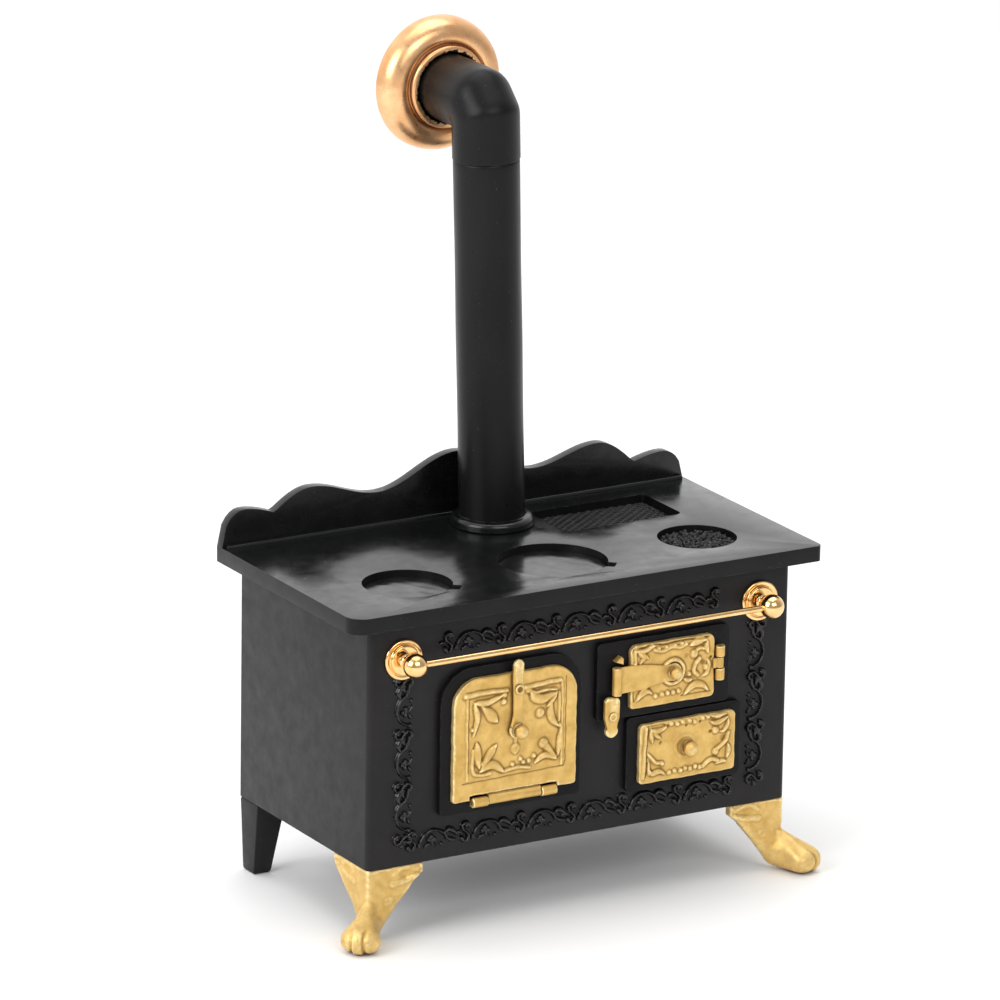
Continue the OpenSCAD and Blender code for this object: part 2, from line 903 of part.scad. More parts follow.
// Small three-cornered lug above the strap's tube
module strap_keeper() {
    thickness = 1.4;
    low_corner = [strap_tube_x + 2.0, strap_z1 + 0.3];
    color([0.85, 0.70, 0.40])
        upright(surround_front, thickness)
            polygon([low_corner, low_corner + [0, 1.4], low_corner + [-0.6, 1.8], low_corner + [-2.3, 0.7]]);
}

// Turn catch that hangs on its pin, long end down
module turn_catch() {
    top_reach = 3.7;
    bottom_reach = 4.1;
    half_width = 1.6;
    lobe_radius = 1.3;
    chamfer = 0.9;
    color([0.85, 0.70, 0.40])
        difference() {
            upright(catch_back, catch_thickness)
                polygon(concat(
                    arc(catch_x, catch_z - bottom_reach + lobe_radius, lobe_radius, 150, 390),
                    [[catch_x + half_width, catch_z - 1]],
                    [[catch_x + half_width, catch_z + top_reach - chamfer]],
                    [[catch_x + half_width - chamfer, catch_z + top_reach]],
                    [[catch_x - half_width + chamfer, catch_z + top_reach]],
                    [[catch_x - half_width, catch_z + top_reach - chamfer]],
                    [[catch_x - half_width, catch_z - 1]]
                ));
            rod_forward(catch_x, catch_z, catch_back + cut, catch_thickness + 2 * cut, bore_radius);
        }
}

module turn_catch_pin() {
    head_thickness = 0.35;
    color([0.85, 0.70, 0.40]) {
        rod_forward(catch_x, catch_z, surround_front, surround_front - catch_front + head_thickness, pin_radius);
        rod_forward(catch_x, catch_z, surround_front, surround_front - catch_back - fit_gap, 0.9);
        rod_forward(catch_x, catch_z, catch_front - fit_gap, head_thickness, 0.75);
    }
}

// ---- Ash drawer ----

module ash_surround() {
    surround(ash_frame, frame_corner, ash_space);
}

module ash_drawer_front() {
    bed = 0.2;
    color([0.85, 0.70, 0.40]) {
        upright(door_back, door_thickness)
            polygon(round_rect(ash_x0, ash_z0, ash_x1, ash_z1, 0.8, 0.9));
        upright(door_back - bed, door_thickness - bed + relief_height)
            panel_relief(ash_x0 + 1.3, ash_z0 + 1.3, ash_x1 - 1.3, ash_z1 - 1.3, 3.8);
    }
}

module ash_tray() {
    wall = 0.9;
    x0 = ash_space[0][0] + 0.3;
    x1 = ash_space[0][1] - 0.3;
    z0 = ash_space[1][0] + 0.1;
    z1 = ash_space[1][1] - 0.8;
    y1 = body_front + ash_depth;
    color([0.10, 0.10, 0.10])
        difference() {
            box([x0, door_back, z0], [x1, y1, z1]);
            box([x0 + wall, door_back + wall, z0 + wall], [x1 - wall, y1 - wall, z1 + cut]);
        }
}

module ash_knob() {
    knob((ash_x0 + ash_x1) / 2, (ash_z0 + ash_z1) / 2, door_front, 1.5, 0.2);
}

// ---- Nodes ----

body();
hob_plate();
back_board();
lid_left();
lid_centre();
coal_bed();
griddle_grate();
flue_collar();
flue_pipe();
flue_elbow();
wall_rosette();
rail_rod();
rail_rose_left();
rail_rose_right();
rail_post_left();
rail_post_right();
front_foot_left();
front_foot_right();
rear_foot_left();
rear_foot_right();
frieze_top();
frieze_bottom();
frieze_left();
frieze_right();
oven_surround();
oven_door();
oven_hinge_brackets();
oven_hinge_pin();
oven_latch_bar();
oven_latch_rivet();
oven_knob();
firebox_surround();
firebox_door();
firebox_hinge_brackets();
firebox_hinge_pin();
firebox_strap();
firebox_knob();
strap_keeper();
turn_catch();
turn_catch_pin();
ash_surround();
ash_drawer_front();
ash_tray();
ash_knob();
fire_grate();
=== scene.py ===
"""Looks of the dolls' house kitchen range. Lengths are in millimetres until a mesh turns them into metres."""

import math

import bmesh
import bpy
import numpy as np
from mathutils import Matrix, Vector


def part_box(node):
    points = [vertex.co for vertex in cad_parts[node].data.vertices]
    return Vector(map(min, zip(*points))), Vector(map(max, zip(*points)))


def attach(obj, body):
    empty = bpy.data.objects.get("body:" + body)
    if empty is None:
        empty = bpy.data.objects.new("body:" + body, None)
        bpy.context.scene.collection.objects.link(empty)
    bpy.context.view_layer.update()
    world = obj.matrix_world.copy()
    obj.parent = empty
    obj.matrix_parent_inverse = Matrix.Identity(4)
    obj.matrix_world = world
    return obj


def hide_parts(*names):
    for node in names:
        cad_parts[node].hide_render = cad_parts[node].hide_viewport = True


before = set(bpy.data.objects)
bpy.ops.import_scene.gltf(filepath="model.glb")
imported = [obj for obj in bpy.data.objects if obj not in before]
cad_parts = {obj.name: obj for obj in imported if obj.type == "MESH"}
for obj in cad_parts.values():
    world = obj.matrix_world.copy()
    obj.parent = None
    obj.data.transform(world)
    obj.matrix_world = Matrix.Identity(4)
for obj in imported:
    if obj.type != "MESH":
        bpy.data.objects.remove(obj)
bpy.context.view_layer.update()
MM = 0.001


def box_mm(node):
    """Low and high corners of a CAD node in millimetres."""
    low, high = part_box(node)
    return np.array(low) / MM, np.array(high) / MM


# ---- Materials ----


class Nodes:
    """Short names for building one node tree."""

    def __init__(self, tree):
        self.tree = tree

    def new(self, kind, **values):
        node = self.tree.nodes.new(kind)
        for key, value in values.items():
            if hasattr(node, key):
                setattr(node, key, value)
            else:
                node.inputs[key.replace("_", " ")].default_value = value
        return node

    def link(self, out, into):
        self.tree.links.new(out, into)

    def coords(self, stretch=(1, 1, 1)):
        """Object coordinates in millimetres, divided by stretch."""
        place = self.new("ShaderNodeTexCoord")
        scale = self.new("ShaderNodeVectorMath", operation="MULTIPLY")
        scale.inputs[1].default_value = [1 / MM / s for s in stretch]
        self.link(place.outputs["Object"], scale.inputs[0])
        return scale.outputs[0]

    def noise(self, size, detail=3.0, roughness=0.5, stretch=(1, 1, 1)):
        """Noise whose blotches are about size millimetres across."""
        node = self.new("ShaderNodeTexNoise", Scale=1.0 / size, Detail=detail, Roughness=roughness)
        self.link(self.coords(stretch), node.inputs["Vector"])
        return node.outputs["Fac"]

    def ramp(self, value, stops):
        """Colour ramp, stops are (place, colour or number)."""
        node = self.new("ShaderNodeValToRGB")
        elements = node.color_ramp.elements
        while len(elements) < len(stops):
            elements.new(0.5)
        for element, (place, colour) in zip(elements, stops):
            element.position = place
            element.color = (*colour, 1) if hasattr(colour, "__len__") else (colour, colour, colour, 1)
        self.link(value, node.inputs["Fac"])
        return node.outputs["Color"]

    def less_than(self, value, limit):
        node = self.new("FunctionNodeCompare", data_type="FLOAT", operation="LESS_THAN")
        node.inputs[1].default_value = limit
        self.link(value, node.inputs[0])
        return node.outputs[0]

    def span(self, value, low, high, to_low, to_high):
        """Maps low..high to to_low..to_high and holds the ends."""
        node = self.new("ShaderNodeMapRange")
        for name, number in (("From Min", low), ("From Max", high), ("To Min", to_low), ("To Max", to_high)):
            node.inputs[name].default_value = number
        self.link(value, node.inputs["Value"])
        return node.outputs["Result"]

    def math(self, operation, first, second):
        node = self.new("ShaderNodeMath", operation=operation)
        for socket, value in zip(node.inputs, (first, second)):
            if isinstance(value, (int, float)):
                socket.default_value = value
            else:
                self.link(value, socket)
        return node.outputs[0]

    def mix(self, share, first, second, blend="MIX"):
        node = self.new("ShaderNodeMix", data_type="RGBA", blend_type=blend)
        for socket, value in zip((node.inputs[0], node.inputs[6], node.inputs[7]), (share, first, second)):
            if hasattr(value, "is_linked"):
                self.link(value, socket)
            elif hasattr(value, "__len__"):
                socket.default_value = (*value, 1)
            else:
                socket.default_value = value
        return node.outputs[2]

    def bump(self, height, depth, strength, onto=None):
        """Bump from a height of 0 to 1 that stands for depth millimetres."""
        node = self.new("ShaderNodeBump", Strength=strength, Distance=depth * MM)
        self.link(height, node.inputs["Height"])
        if onto:
            self.link(onto, node.inputs["Normal"])
        return node.outputs["Normal"]

    def edges(self, radius):
        """1 along sharp outer edges, 0 on flat surfaces."""
        bevel = self.new("ShaderNodeBevel", samples=4)
        bevel.inputs["Radius"].default_value = radius * MM
        place = self.new("ShaderNodeNewGeometry")
        dot = self.new("ShaderNodeVectorMath", operation="DOT_PRODUCT")
        self.link(bevel.outputs[0], dot.inputs[0])
        self.link(place.outputs["Normal"], dot.inputs[1])
        return self.span(dot.outputs["Value"], 0.75, 0.99, 1, 0)

    def hollows(self, reach):
        """Ambient occlusion: 1 in the open, falling to 0 in grooves and corners narrower than reach
        millimetres. The paints use it to paint shade into hollows.
        """
        node = self.new("ShaderNodeAmbientOcclusion", samples=8, only_local=False)
        node.inputs["Distance"].default_value = reach * MM
        return node.outputs["AO"]


def new_material(name, metallic=0.0, specular=0.5):
    material = bpy.data.materials.new(name)
    material.use_nodes = True
    tree = material.node_tree
    shader = tree.nodes["Principled BSDF"]
    shader.inputs["Metallic"].default_value = metallic
    shader.inputs["Specular IOR Level"].default_value = specular
    return material, Nodes(tree), shader


def black_paint(name, dark, light, rough, grain, wave_depth, specular, streak=(1, 1, 1)):
    """Black enamel on cast resin: brushed-on waves, dust specks and a painted highlight along the sharp
    edges.
    Rough is (least, most) and grain is (size, depth)."""
    material, n, shader = new_material(name, specular=specular)
    blotch = n.noise(9.0, 4.0, 0.55, streak)
    fine = n.noise(grain[0], 3.0, 0.6)
    colour = n.mix(n.span(blotch, 0.3, 0.7, 0, 1), dark, light)
    speck = n.span(n.noise(0.45, 1.0), 0.74, 0.8, 0, 0.35)
    colour = n.mix(speck, colour, (0.11, 0.11, 0.115))
    # painted highlight: paler grey along sharp edges, in patches
    painted_light = n.math("MULTIPLY", n.edges(0.35), n.span(n.noise(1.6, 4.0), 0.42, 0.66, 0, 0.55))
    colour = n.mix(painted_light, colour, (0.085, 0.082, 0.085))
    n.link(colour, shader.inputs["Base Color"])
    smear = n.noise(3.2, 5.0, 0.6, streak)
    n.link(n.span(smear, 0.3, 0.72, *rough), shader.inputs["Roughness"])
    wave = n.bump(n.noise(5.5, 2.0, 0.4, streak), wave_depth, 0.6)
    n.link(n.bump(fine, grain[1], 0.5, wave), shader.inputs["Normal"])
    return material


def gilt_paint(name, recess, body, high):
    """Metallic gold paint with flake grain: painted shade in brown in the hollows and beside raised ornament,
    painted highlights on what stands out and along sharp edges.
    """
    material, n, shader = new_material(name, metallic=0.62)
    # open_air is ambient occlusion; it paints shade into the hollows below
    open_air = n.hollows(0.9)
    blotch = n.noise(2.6, 4.0, 0.6)
    base = n.mix(n.span(blotch, 0.3, 0.72, 0, 1), [c * 0.86 for c in body], high)
    crest = n.new("ShaderNodeAttribute", attribute_name="crest").outputs["Fac"]
    # painted highlight: near-white gold where the surface stands out, broken up in patches
    highlight_breakup = n.span(n.noise(0.7, 3.0), 0.38, 0.6, 0.35, 1)
    painted_crest_highlight = n.math("MULTIPLY", n.span(crest, 0.02, 0.12, 0, 1), highlight_breakup)
    base = n.mix(painted_crest_highlight, base, (1.0, 0.84, 0.45))
    # painted shade: brown beside raised ornament, where the surface lies below its surroundings
    base = n.mix(n.span(crest, -0.085, -0.008, 0.95, 0), base, recess)
    # painted shade: brown where ambient occlusion finds hollows
    colour = n.mix(n.span(open_air, 0.35, 0.93, 0, 1), recess, base)
    # painted highlight: paler gold along sharp edges, in patches
    painted_edge_highlight = n.math("MULTIPLY", n.edges(0.3), n.span(n.noise(0.8, 3.0), 0.35, 0.6, 0.1, 0.7))
    colour = n.mix(painted_edge_highlight, colour, (0.92, 0.70, 0.31))
    thin = n.span(n.noise(0.7, 2.0), 0.76, 0.82, 0, 0.5)
    colour = n.mix(thin, colour, (0.30, 0.19, 0.06))
    n.link(colour, shader.inputs["Base Color"])
    n.link(n.span(n.noise(1.2, 4.0), 0.3, 0.7, 0.36, 0.54), shader.inputs["Roughness"])
    brushed = n.bump(n.noise(1.7, 3.0, 0.5), 0.10, 0.5)
    n.link(n.bump(n.noise(0.16, 2.0, 0.6), 0.02, 0.7, brushed), shader.inputs["Normal"])
    return material


def plated_brass(name):
    """Bright pinkish brass plate with faint turning lines and smears."""
    material, n, shader = new_material(name, metallic=1.0)
    tint = n.span(n.noise(2.4, 3.0), 0.3, 0.7, 0, 1)
    n.link(n.mix(tint, (0.89, 0.54, 0.21), (0.97, 0.68, 0.34)), shader.inputs["Base Color"])
    n.link(n.span(n.noise(1.3, 4.0), 0.3, 0.75, 0.10, 0.24), shader.inputs["Roughness"])
    n.link(n.bump(n.noise(0.5, 3.0, 0.5), 0.012, 0.35), shader.inputs["Normal"])
    return material


def copper_paint(name, axis, pipe_radius):
    """Satin copper paint, brushed in a circle, with painted shade in dark brown in its grooves, and black
    from the pipe along the hole's edge.
    """
    material, n, shader = new_material(name, metallic=0.9)
    place = n.new("ShaderNodeVectorMath", operation="SUBTRACT")
    n.link(n.coords(), place.inputs[0])
    place.inputs[1].default_value = (axis[0], 0, axis[1])
    flat = n.new("ShaderNodeVectorMath", operation="MULTIPLY")
    n.link(place.outputs[0], flat.inputs[0])
    flat.inputs[1].default_value = (1, 0, 1)
    radius = n.new("ShaderNodeVectorMath", operation="LENGTH")
    n.link(flat.outputs[0], radius.inputs[0])
    radius = radius.outputs["Value"]
    blotch = n.noise(4.5, 4.0, 0.55)
    colour = n.mix(n.span(blotch, 0.3, 0.7, 0, 1), (0.74, 0.37, 0.155), (0.90, 0.55, 0.29))
    # painted shade: dark brown where ambient occlusion finds the grooves
    groove = n.span(n.hollows(1.0), 0.3, 0.85, 0, 1)
    colour = n.mix(groove, (0.22, 0.10, 0.045), colour)
    edge = n.math("ADD", radius, n.math("MULTIPLY", n.noise(1.1, 4.0, 0.65), -2.4))
    black = n.span(edge, pipe_radius - 0.66, pipe_radius - 0.56, 1, 0)
    colour = n.mix(black, colour, (0.012, 0.011, 0.012))
    speck = n.span(n.noise(0.6, 1.0), 0.78, 0.82, 0, 0.8)
    colour = n.mix(speck, colour, (0.20, 0.10, 0.05))
    n.link(colour, shader.inputs["Base Color"])
    n.link(n.span(n.noise(1.8, 4.0), 0.3, 0.7, 0.24, 0.36), shader.inputs["Roughness"])
    brushed = n.bump(n.noise(2.2, 3.0, 0.5), 0.05, 0.4)
    n.link(n.bump(n.noise(0.2, 2.0), 0.012, 0.5, brushed), shader.inputs["Normal"])
    return material


def rough_black(name, dark, light, rough, grain, depth, metallic=0.0, specular=0.5):
    """Unpainted casting or coal: coarse grain and patches."""
    material, n, shader = new_material(name, metallic, specular)
    patches = n.span(n.noise(1.3, 4.0), 0.3, 0.7, 0, 1)
    n.link(n.mix(patches, dark, light), shader.inputs["Base Color"])
    n.link(n.span(n.noise(0.7, 3.0), 0.3, 0.7, rough - 0.14, rough + 0.12), shader.inputs["Roughness"])
    n.link(n.bump(n.noise(grain, 4.0, 0.65), depth, 0.8), shader.inputs["Normal"])
    return material


rosette_low, rosette_high = box_mm("wall_rosette")
rosette_middle = (rosette_low + rosette_high) / 2
pipe_radius = 6.2
elbow_radius = 6.35

SATIN = black_paint("satin_black_paint", (0.0085, 0.0075, 0.0085), (0.0125, 0.0110, 0.0125),
                    rough=(0.40, 0.54), grain=(0.30, 0.03), wave_depth=0.06, specular=0.24)
# A darker copy of the satin black: painted shade round the doors, on their surrounds; the feet use it too
FRAME_SHADE = black_paint("frame_shade_black_paint", (0.005, 0.0047, 0.005), (0.008, 0.0075, 0.008),
                    rough=(0.42, 0.56), grain=(0.30, 0.03), wave_depth=0.06, specular=0.14)
FRIEZE = black_paint("relief_black_paint", (0.003, 0.003, 0.003), (0.006, 0.006, 0.007),
                     rough=(0.13, 0.30), grain=(0.35, 0.02), wave_depth=0.05, specular=0.48)
HOB_SIDES = black_paint("hob_side_enamel", (0.003, 0.003, 0.003), (0.006, 0.006, 0.006),
                        rough=(0.28, 0.42), grain=(0.8, 0.008), wave_depth=0.035, specular=0.20)
HOB = black_paint("hob_black_enamel", (0.003, 0.0033, 0.0033), (0.006, 0.0065, 0.0065),
                  rough=(0.14, 0.28), grain=(0.8, 0.008), wave_depth=0.035, specular=0.43)
BOARD = black_paint("board_black_enamel", (0.003, 0.003, 0.003), (0.006, 0.006, 0.006),
                    rough=(0.18, 0.34), grain=(0.6, 0.015), wave_depth=0.06, specular=0.38)
FLUE = black_paint("flue_black_enamel", (0.004, 0.0038, 0.004), (0.008, 0.0076, 0.008),
                   rough=(0.26, 0.40), grain=(0.35, 0.03), wave_depth=0.10, specular=0.17, streak=(1, 1, 4))
LID = black_paint("lid_black_enamel", (0.004, 0.004, 0.004), (0.008, 0.008, 0.008),
                  rough=(0.12, 0.26), grain=(1.1, 0.02), wave_depth=0.05, specular=0.5)
COAL = rough_black("coal_black", (0.006, 0.006, 0.007), (0.022, 0.021, 0.022),
                   rough=0.50, grain=0.30, depth=0.10, specular=0.3)
IRON = rough_black("dark_cast_iron", (0.040, 0.039, 0.040), (0.085, 0.083, 0.082),
                   rough=0.62, grain=0.35, depth=0.06, metallic=0.4)
GILT = gilt_paint("gilt_paint", (0.185, 0.088, 0.014), (0.68, 0.415, 0.105), (0.80, 0.535, 0.175))
BRASS = plated_brass("rosy_brass_plate")
COPPER = copper_paint("satin_copper_paint", (rosette_middle[0], rosette_middle[2]), elbow_radius)


# ---- Meshes ----


def blur(places, start, stop, rounds):
    """Moves points halfway to the mean of their neighbours, rounds times. Edges run from start to stop."""
    count = len(places)
    degree = (np.bincount(start, minlength=count) + np.bincount(stop, minlength=count))[:, None]
    for _ in range(rounds):
        total = np.stack([np.bincount(start, along[stop], count) + np.bincount(stop, along[start], count)
                          for along in places.T], 1)
        places = (places + total / degree) / 2
    return places


CREST_ROUNDS, FINE_SPACING = 24, 0.2


def mark_crests(data):
    """Stores how many millimetres each vertex stands above the blurred surface, where the mesh is fine. The
    gilt paint turns this crest into painted highlights on raised parts and painted shade beside them.
    """
    count = len(data.vertices)
    places, normals = np.empty(3 * count), np.empty(3 * count)
    data.vertices.foreach_get("co", places)
    data.vertices.foreach_get("normal", normals)
    ends = np.empty(2 * len(data.edges), int)
    data.edges.foreach_get("vertices", ends)
    start, stop = ends[::2], ends[1::2]
    places = places.reshape(-1, 3)
    lengths = np.linalg.norm(places[start] - places[stop], axis=1)
    spacing = np.bincount(ends, np.repeat(lengths, 2), count) / np.bincount(ends, minlength=count)
    raised = places - blur(places, start, stop, CREST_ROUNDS)
    crest = np.sum(raised * normals.reshape(-1, 3), 1) * np.clip(2 - spacing / FINE_SPACING, 0, 1)
    data.attributes.new("crest", "FLOAT", "POINT").data.foreach_set("value", crest)


def put(name, data):
    """An object of the scene that holds data."""
    piece = bpy.data.objects.new(name, data)
    bpy.context.scene.collection.objects.link(piece)
    return piece


def add_piece(name, mesh, materials, *replaced, body="range_body"):
    """Shows a bmesh in millimetres as a piece that rides on body and stands for CAD nodes."""
    materials = materials if isinstance(materials, tuple) else (materials,)
    bmesh.ops.recalc_face_normals(mesh, faces=mesh.faces)
    data = bpy.data.meshes.new(name)
    mesh.to_mesh(data)
    mesh.free()
    mark_crests(data)
    data.transform(Matrix.Scale(MM, 4))
    for material in materials:
        data.materials.append(material)
    piece = put(name, data)
    smooth(piece)
    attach(piece, body)
    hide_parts(*replaced)
    return piece


def geometry_group(name):
    """A geometry node group, its Nodes, and the sockets that its geometry comes from and goes to."""
    group = bpy.data.node_groups.new(name, "GeometryNodeTree")
    for way in ("INPUT", "OUTPUT"):
        group.interface.new_socket("Geometry", in_out=way, socket_type="NodeSocketGeometry")
    n = Nodes(group)
    return group, n, n.new("NodeGroupInput").outputs[0], n.new("NodeGroupOutput").inputs[0]


def angle_group():
    """Node group that shades smooth all but the edges sharper than 40 degrees."""
    group, n, start, end = geometry_group("smooth_but_sharp")
    angle = n.new("GeometryNodeInputMeshEdgeAngle")
    gentle = n.less_than(angle.outputs["Unsigned Angle"], math.radians(40))
    faces = n.new("GeometryNodeSetShadeSmooth", domain="FACE")
    edges = n.new("GeometryNodeSetShadeSmooth", domain="EDGE")
    n.link(start, faces.inputs["Geometry"])
    n.link(faces.outputs[0], edges.inputs["Geometry"])
    n.link(gentle, edges.inputs["Shade Smooth"])
    n.link(edges.outputs[0], end)
    return group


SMOOTH = angle_group()


def smooth(piece):
    piece.modifiers.new("smooth_by_angle", "NODES").node_group = SMOOTH


def keep_cad(node, material, round_by=0.25, segments=3):
    """A CAD node stays: it gets a material and softly rounded edges."""
    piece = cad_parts[node]
    piece.data.materials.clear()
    piece.data.materials.append(material)
    weld = piece.modifiers.new("weld", "WELD")
    weld.merge_threshold = 0.002 * MM
    if round_by:
        bevel = piece.modifiers.new("soft_edges", "BEVEL")
        bevel.width = round_by * MM
        bevel.segments = segments
        bevel.limit_method = "ANGLE"
        bevel.angle_limit = math.radians(32)
    smooth(piece)
    return piece


def paint_sides(piece, material):
    """Another material on the faces that don't face up."""
    group, n, start, end = geometry_group("paint_sides")
    split = n.new("ShaderNodeSeparateXYZ")
    n.link(n.new("GeometryNodeInputNormal").outputs["Normal"], split.inputs[0])
    paint = n.new("GeometryNodeSetMaterial")
    paint.inputs["Material"].default_value = material
    n.link(start, paint.inputs["Geometry"])
    n.link(n.less_than(split.outputs["Z"], 0.6), paint.inputs["Selection"])
    n.link(paint.outputs[0], end)
    piece.modifiers.new("paint_sides", "NODES").node_group = group


def grid_faces(rows, columns, wrap=False):
    """Quads of a grid of rows x columns vertices, closed round each row if wrap."""
    quads = []
    for r in range(rows - 1):
        for c in range(columns if wrap else columns - 1):
            right = (c + 1) % columns
            low, high = r * columns, (r + 1) * columns
            quads.append((low + c, low + right, high + right, high + c))
    return quads


def tube_faces(rows, columns):
    """Faces of a closed tube of rows x columns vertices with its two ends."""
    ends = [tuple(range(columns)), tuple(range((rows - 1) * columns, rows * columns))]
    return grid_faces(rows, columns, wrap=True) + ends


def mesh_of(points, faces, into=None):
    """A bmesh from points and faces, added to an earlier one if given."""
    mesh = into or bmesh.new()
    verts = [mesh.verts.new(tuple(map(float, p))) for p in points]
    for face in faces:
        mesh.faces.new([verts[i] for i in face])
    return mesh


def axes_for(direction):
    """Two directions across a given one."""
    along = Vector(direction).normalized()
    side = along.orthogonal().normalized()
    return np.array(side), np.array(along.cross(side)), np.array(along)


def lathe(profile, at, direction, steps=64, into=None):
    """Turns (radius, distance) points round direction through at, closed on the axis where a radius is 0."""
    side, up, along = axes_for(direction)
    points, rings = [], []
    for radius, distance in profile:
        centre = np.array(at, float) + along * distance
        if radius <= 1e-6:
            rings.append([len(points)])
            points.append(centre)
            continue
        rings.append(list(range(len(points), len(points) + steps)))
        for i in range(steps):
            a = 2 * math.pi * i / steps
            points.append(centre + radius * (side * math.cos(a) + up * math.sin(a)))
    faces = []
    for low, high in zip(rings, rings[1:]):
        for i in range(steps):
            j = (i + 1) % steps
            corner = [low[i % len(low)], low[j % len(low)], high[j % len(high)], high[i % len(high)]]
            corner = list(dict.fromkeys(corner))
            if len(corner) > 2:
                faces.append(corner)
    return mesh_of(points, faces, into)


def turned_ring(profile, at, direction, steps):
    """Turns a closed profile that stays off the axis."""
    mesh = lathe(profile + [profile[0]], at, direction, steps)
    bmesh.ops.remove_doubles(mesh, verts=mesh.verts, dist=1e-4)
    return mesh


def arc(centre, radius, start, stop, steps=8):
    """(x, y) points on an arc, angles in degrees."""
    angles = np.radians(np.linspace(start, stop, steps + 1))
    return [(centre[0] + radius * math.cos(a), centre[1] + radius * math.sin(a)) for a in angles]


def rounded_rod(radius, length, rounding, taper=1.0):
    """Lathe profile of a rod with rounded ends."""
    end = radius * taper
    return ([(0, 0)] + arc((radius - rounding, rounding), rounding, -90, 0, 5)
            + arc((end - rounding, length - rounding), rounding, 0, 90, 5) + [(0, length)])


def rectangle(x0, x1, z0, z1):
    return [(x0, z0), (x1, z0), (x1, z1), (x0, z1)]


def slab(outline, back, front, rounding, into=None):
    """An upright plate with a closed (x, z) outline, rounded along its front edge. Front is the smaller y."""
    outline = np.array(outline, float)
    following, previous = np.roll(outline, -1, 0), np.roll(outline, 1, 0)
    along = following - previous
    along /= np.maximum(np.linalg.norm(along, axis=1, keepdims=True), 1e-9)
    area = np.sum(outline[:, 0] * following[:, 1] - following[:, 0] * outline[:, 1])
    inward = np.stack([-along[:, 1], along[:, 0]], 1) * (1 if area > 0 else -1)
    points, count = [], len(outline)
    levels = [(0, back)] + [(rounding * (1 - math.cos(a)), front + rounding * (1 - math.sin(a)))
                            for a in np.linspace(0, math.pi / 2, 5)]
    for inset, y in levels:
        ring = outline + inward * inset
        points += [(x, y, z) for x, z in ring]
    return mesh_of(points, tube_faces(len(levels), count), into)


def curve(points, per_span=7):
    """A smooth line through points."""
    p = np.array(points, float)
    if len(p) == 2:
        return p
    p = np.vstack([2 * p[0] - p[1], p, 2 * p[-1] - p[-2]])
    out = []
    for a, b, c, d in zip(p, p[1:], p[2:], p[3:]):
        for t in np.linspace(0, 1, per_span, endpoint=False):
            out.append(0.5 * (2 * b + (c - a) * t + (2 * a - 5 * b + 4 * c - d) * t * t
                              + (3 * b - a - 3 * c + d) * t ** 3))
    out.append(p[-2])
    return np.array(out)


class Relief:
    """A height map over points of a plane, in millimetres, that ornament is raised on."""

    def __init__(self, across, up):
        self.x, self.z = across, up
        self.height = np.zeros_like(across)

    def near(self, points):
        """Distance to a line, and how far along it, 0 to 1."""
        best = np.full(self.x.shape, 1e9)
        share = np.zeros_like(best)
        lengths = np.linalg.norm(np.diff(points, axis=0), axis=1)
        total, done = lengths.sum(), 0.0
        for a, b, length in zip(points, points[1:], lengths):
            if length < 1e-9:
                continue
            t = ((self.x - a[0]) * (b[0] - a[0]) + (self.z - a[1]) * (b[1] - a[1])) / length ** 2
            t = np.clip(t, 0, 1)
            d = np.hypot(self.x - a[0] - t * (b[0] - a[0]), self.z - a[1] - t * (b[1] - a[1]))
            closer = d < best
            best = np.where(closer, d, best)
            share = np.where(closer, (done + t * length) / total, share)
            done += length
        return best, share

    def swell(self, shape, height):
        """Raises a rounded form, where shape is 0 at its middle and 1 at its rim."""
        self.height = np.maximum(self.height, height * np.sqrt(np.clip(1 - shape ** 2, 0, 1)))

    def stem(self, points, width, height, ends=(1, 1)):
        """A cord whose half width runs from width * ends[0] to width * ends[1]."""
        d, t = self.near(curve(points))
        self.swell(d / (width * (ends[0] + (ends[1] - ends[0]) * t)), height)

    def leaf(self, points, width, height, fullest=0.5):
        """A leaf along a line, widest at the share fullest of its length, with a crease down its middle."""
        d, t = self.near(curve(points))
        t = np.where(t < fullest, 0.5 * t / fullest, 0.5 + 0.5 * (t - fullest) / (1 - fullest))
        half = width * (0.12 + 0.88 * np.clip(np.sin(np.pi * t), 0, 1) ** 0.8)
        self.swell(d / half, height)

    def bead(self, x, z, radius, height):
        self.swell(np.hypot(self.x - x, self.z - z) / radius, height)

    def ring(self, x, z, radius, width, height):
        self.swell(np.abs(np.hypot(self.x - x, self.z - z) - radius) / width, height)

    def groove(self, points, width, depth, smooth_line=True):
        d, _ = self.near(curve(points) if smooth_line else np.array(points, float))
        self.height -= depth * np.clip(1 - (d / width) ** 2, 0, 1)

    def dimple(self, x, z, radius, depth):
        d = np.hypot(self.x - x, self.z - z) / radius
        self.height -= depth * np.clip(1 - d ** 2, 0, 1)

    def soften(self, times):
        for _ in range(times):
            h = np.pad(self.height, 1, mode="edge")
            self.height = (4 * h[1:-1, 1:-1] + h[:-2, 1:-1] + h[2:, 1:-1] + h[1:-1, :-2] + h[1:-1, 2:]) / 8


def spaced(stops, step):
    """Numbers that include every stop and are at most step apart."""
    out = [stops[0]]
    for a, b in zip(stops, stops[1:]):
        out += list(np.linspace(a, b, max(2, int(math.ceil((b - a) / step)) + 1)))[1:]
    return out


def corner_steps(start, radius, step, upward):
    """Heights through a rounded corner, closer together where its edge is level."""
    count = max(4, int(radius / step * 1.4))
    rises = radius * np.sin(np.linspace(0, math.pi / 2, count + 1))
    return list(start + rises) if upward else list(start - rises)[::-1]


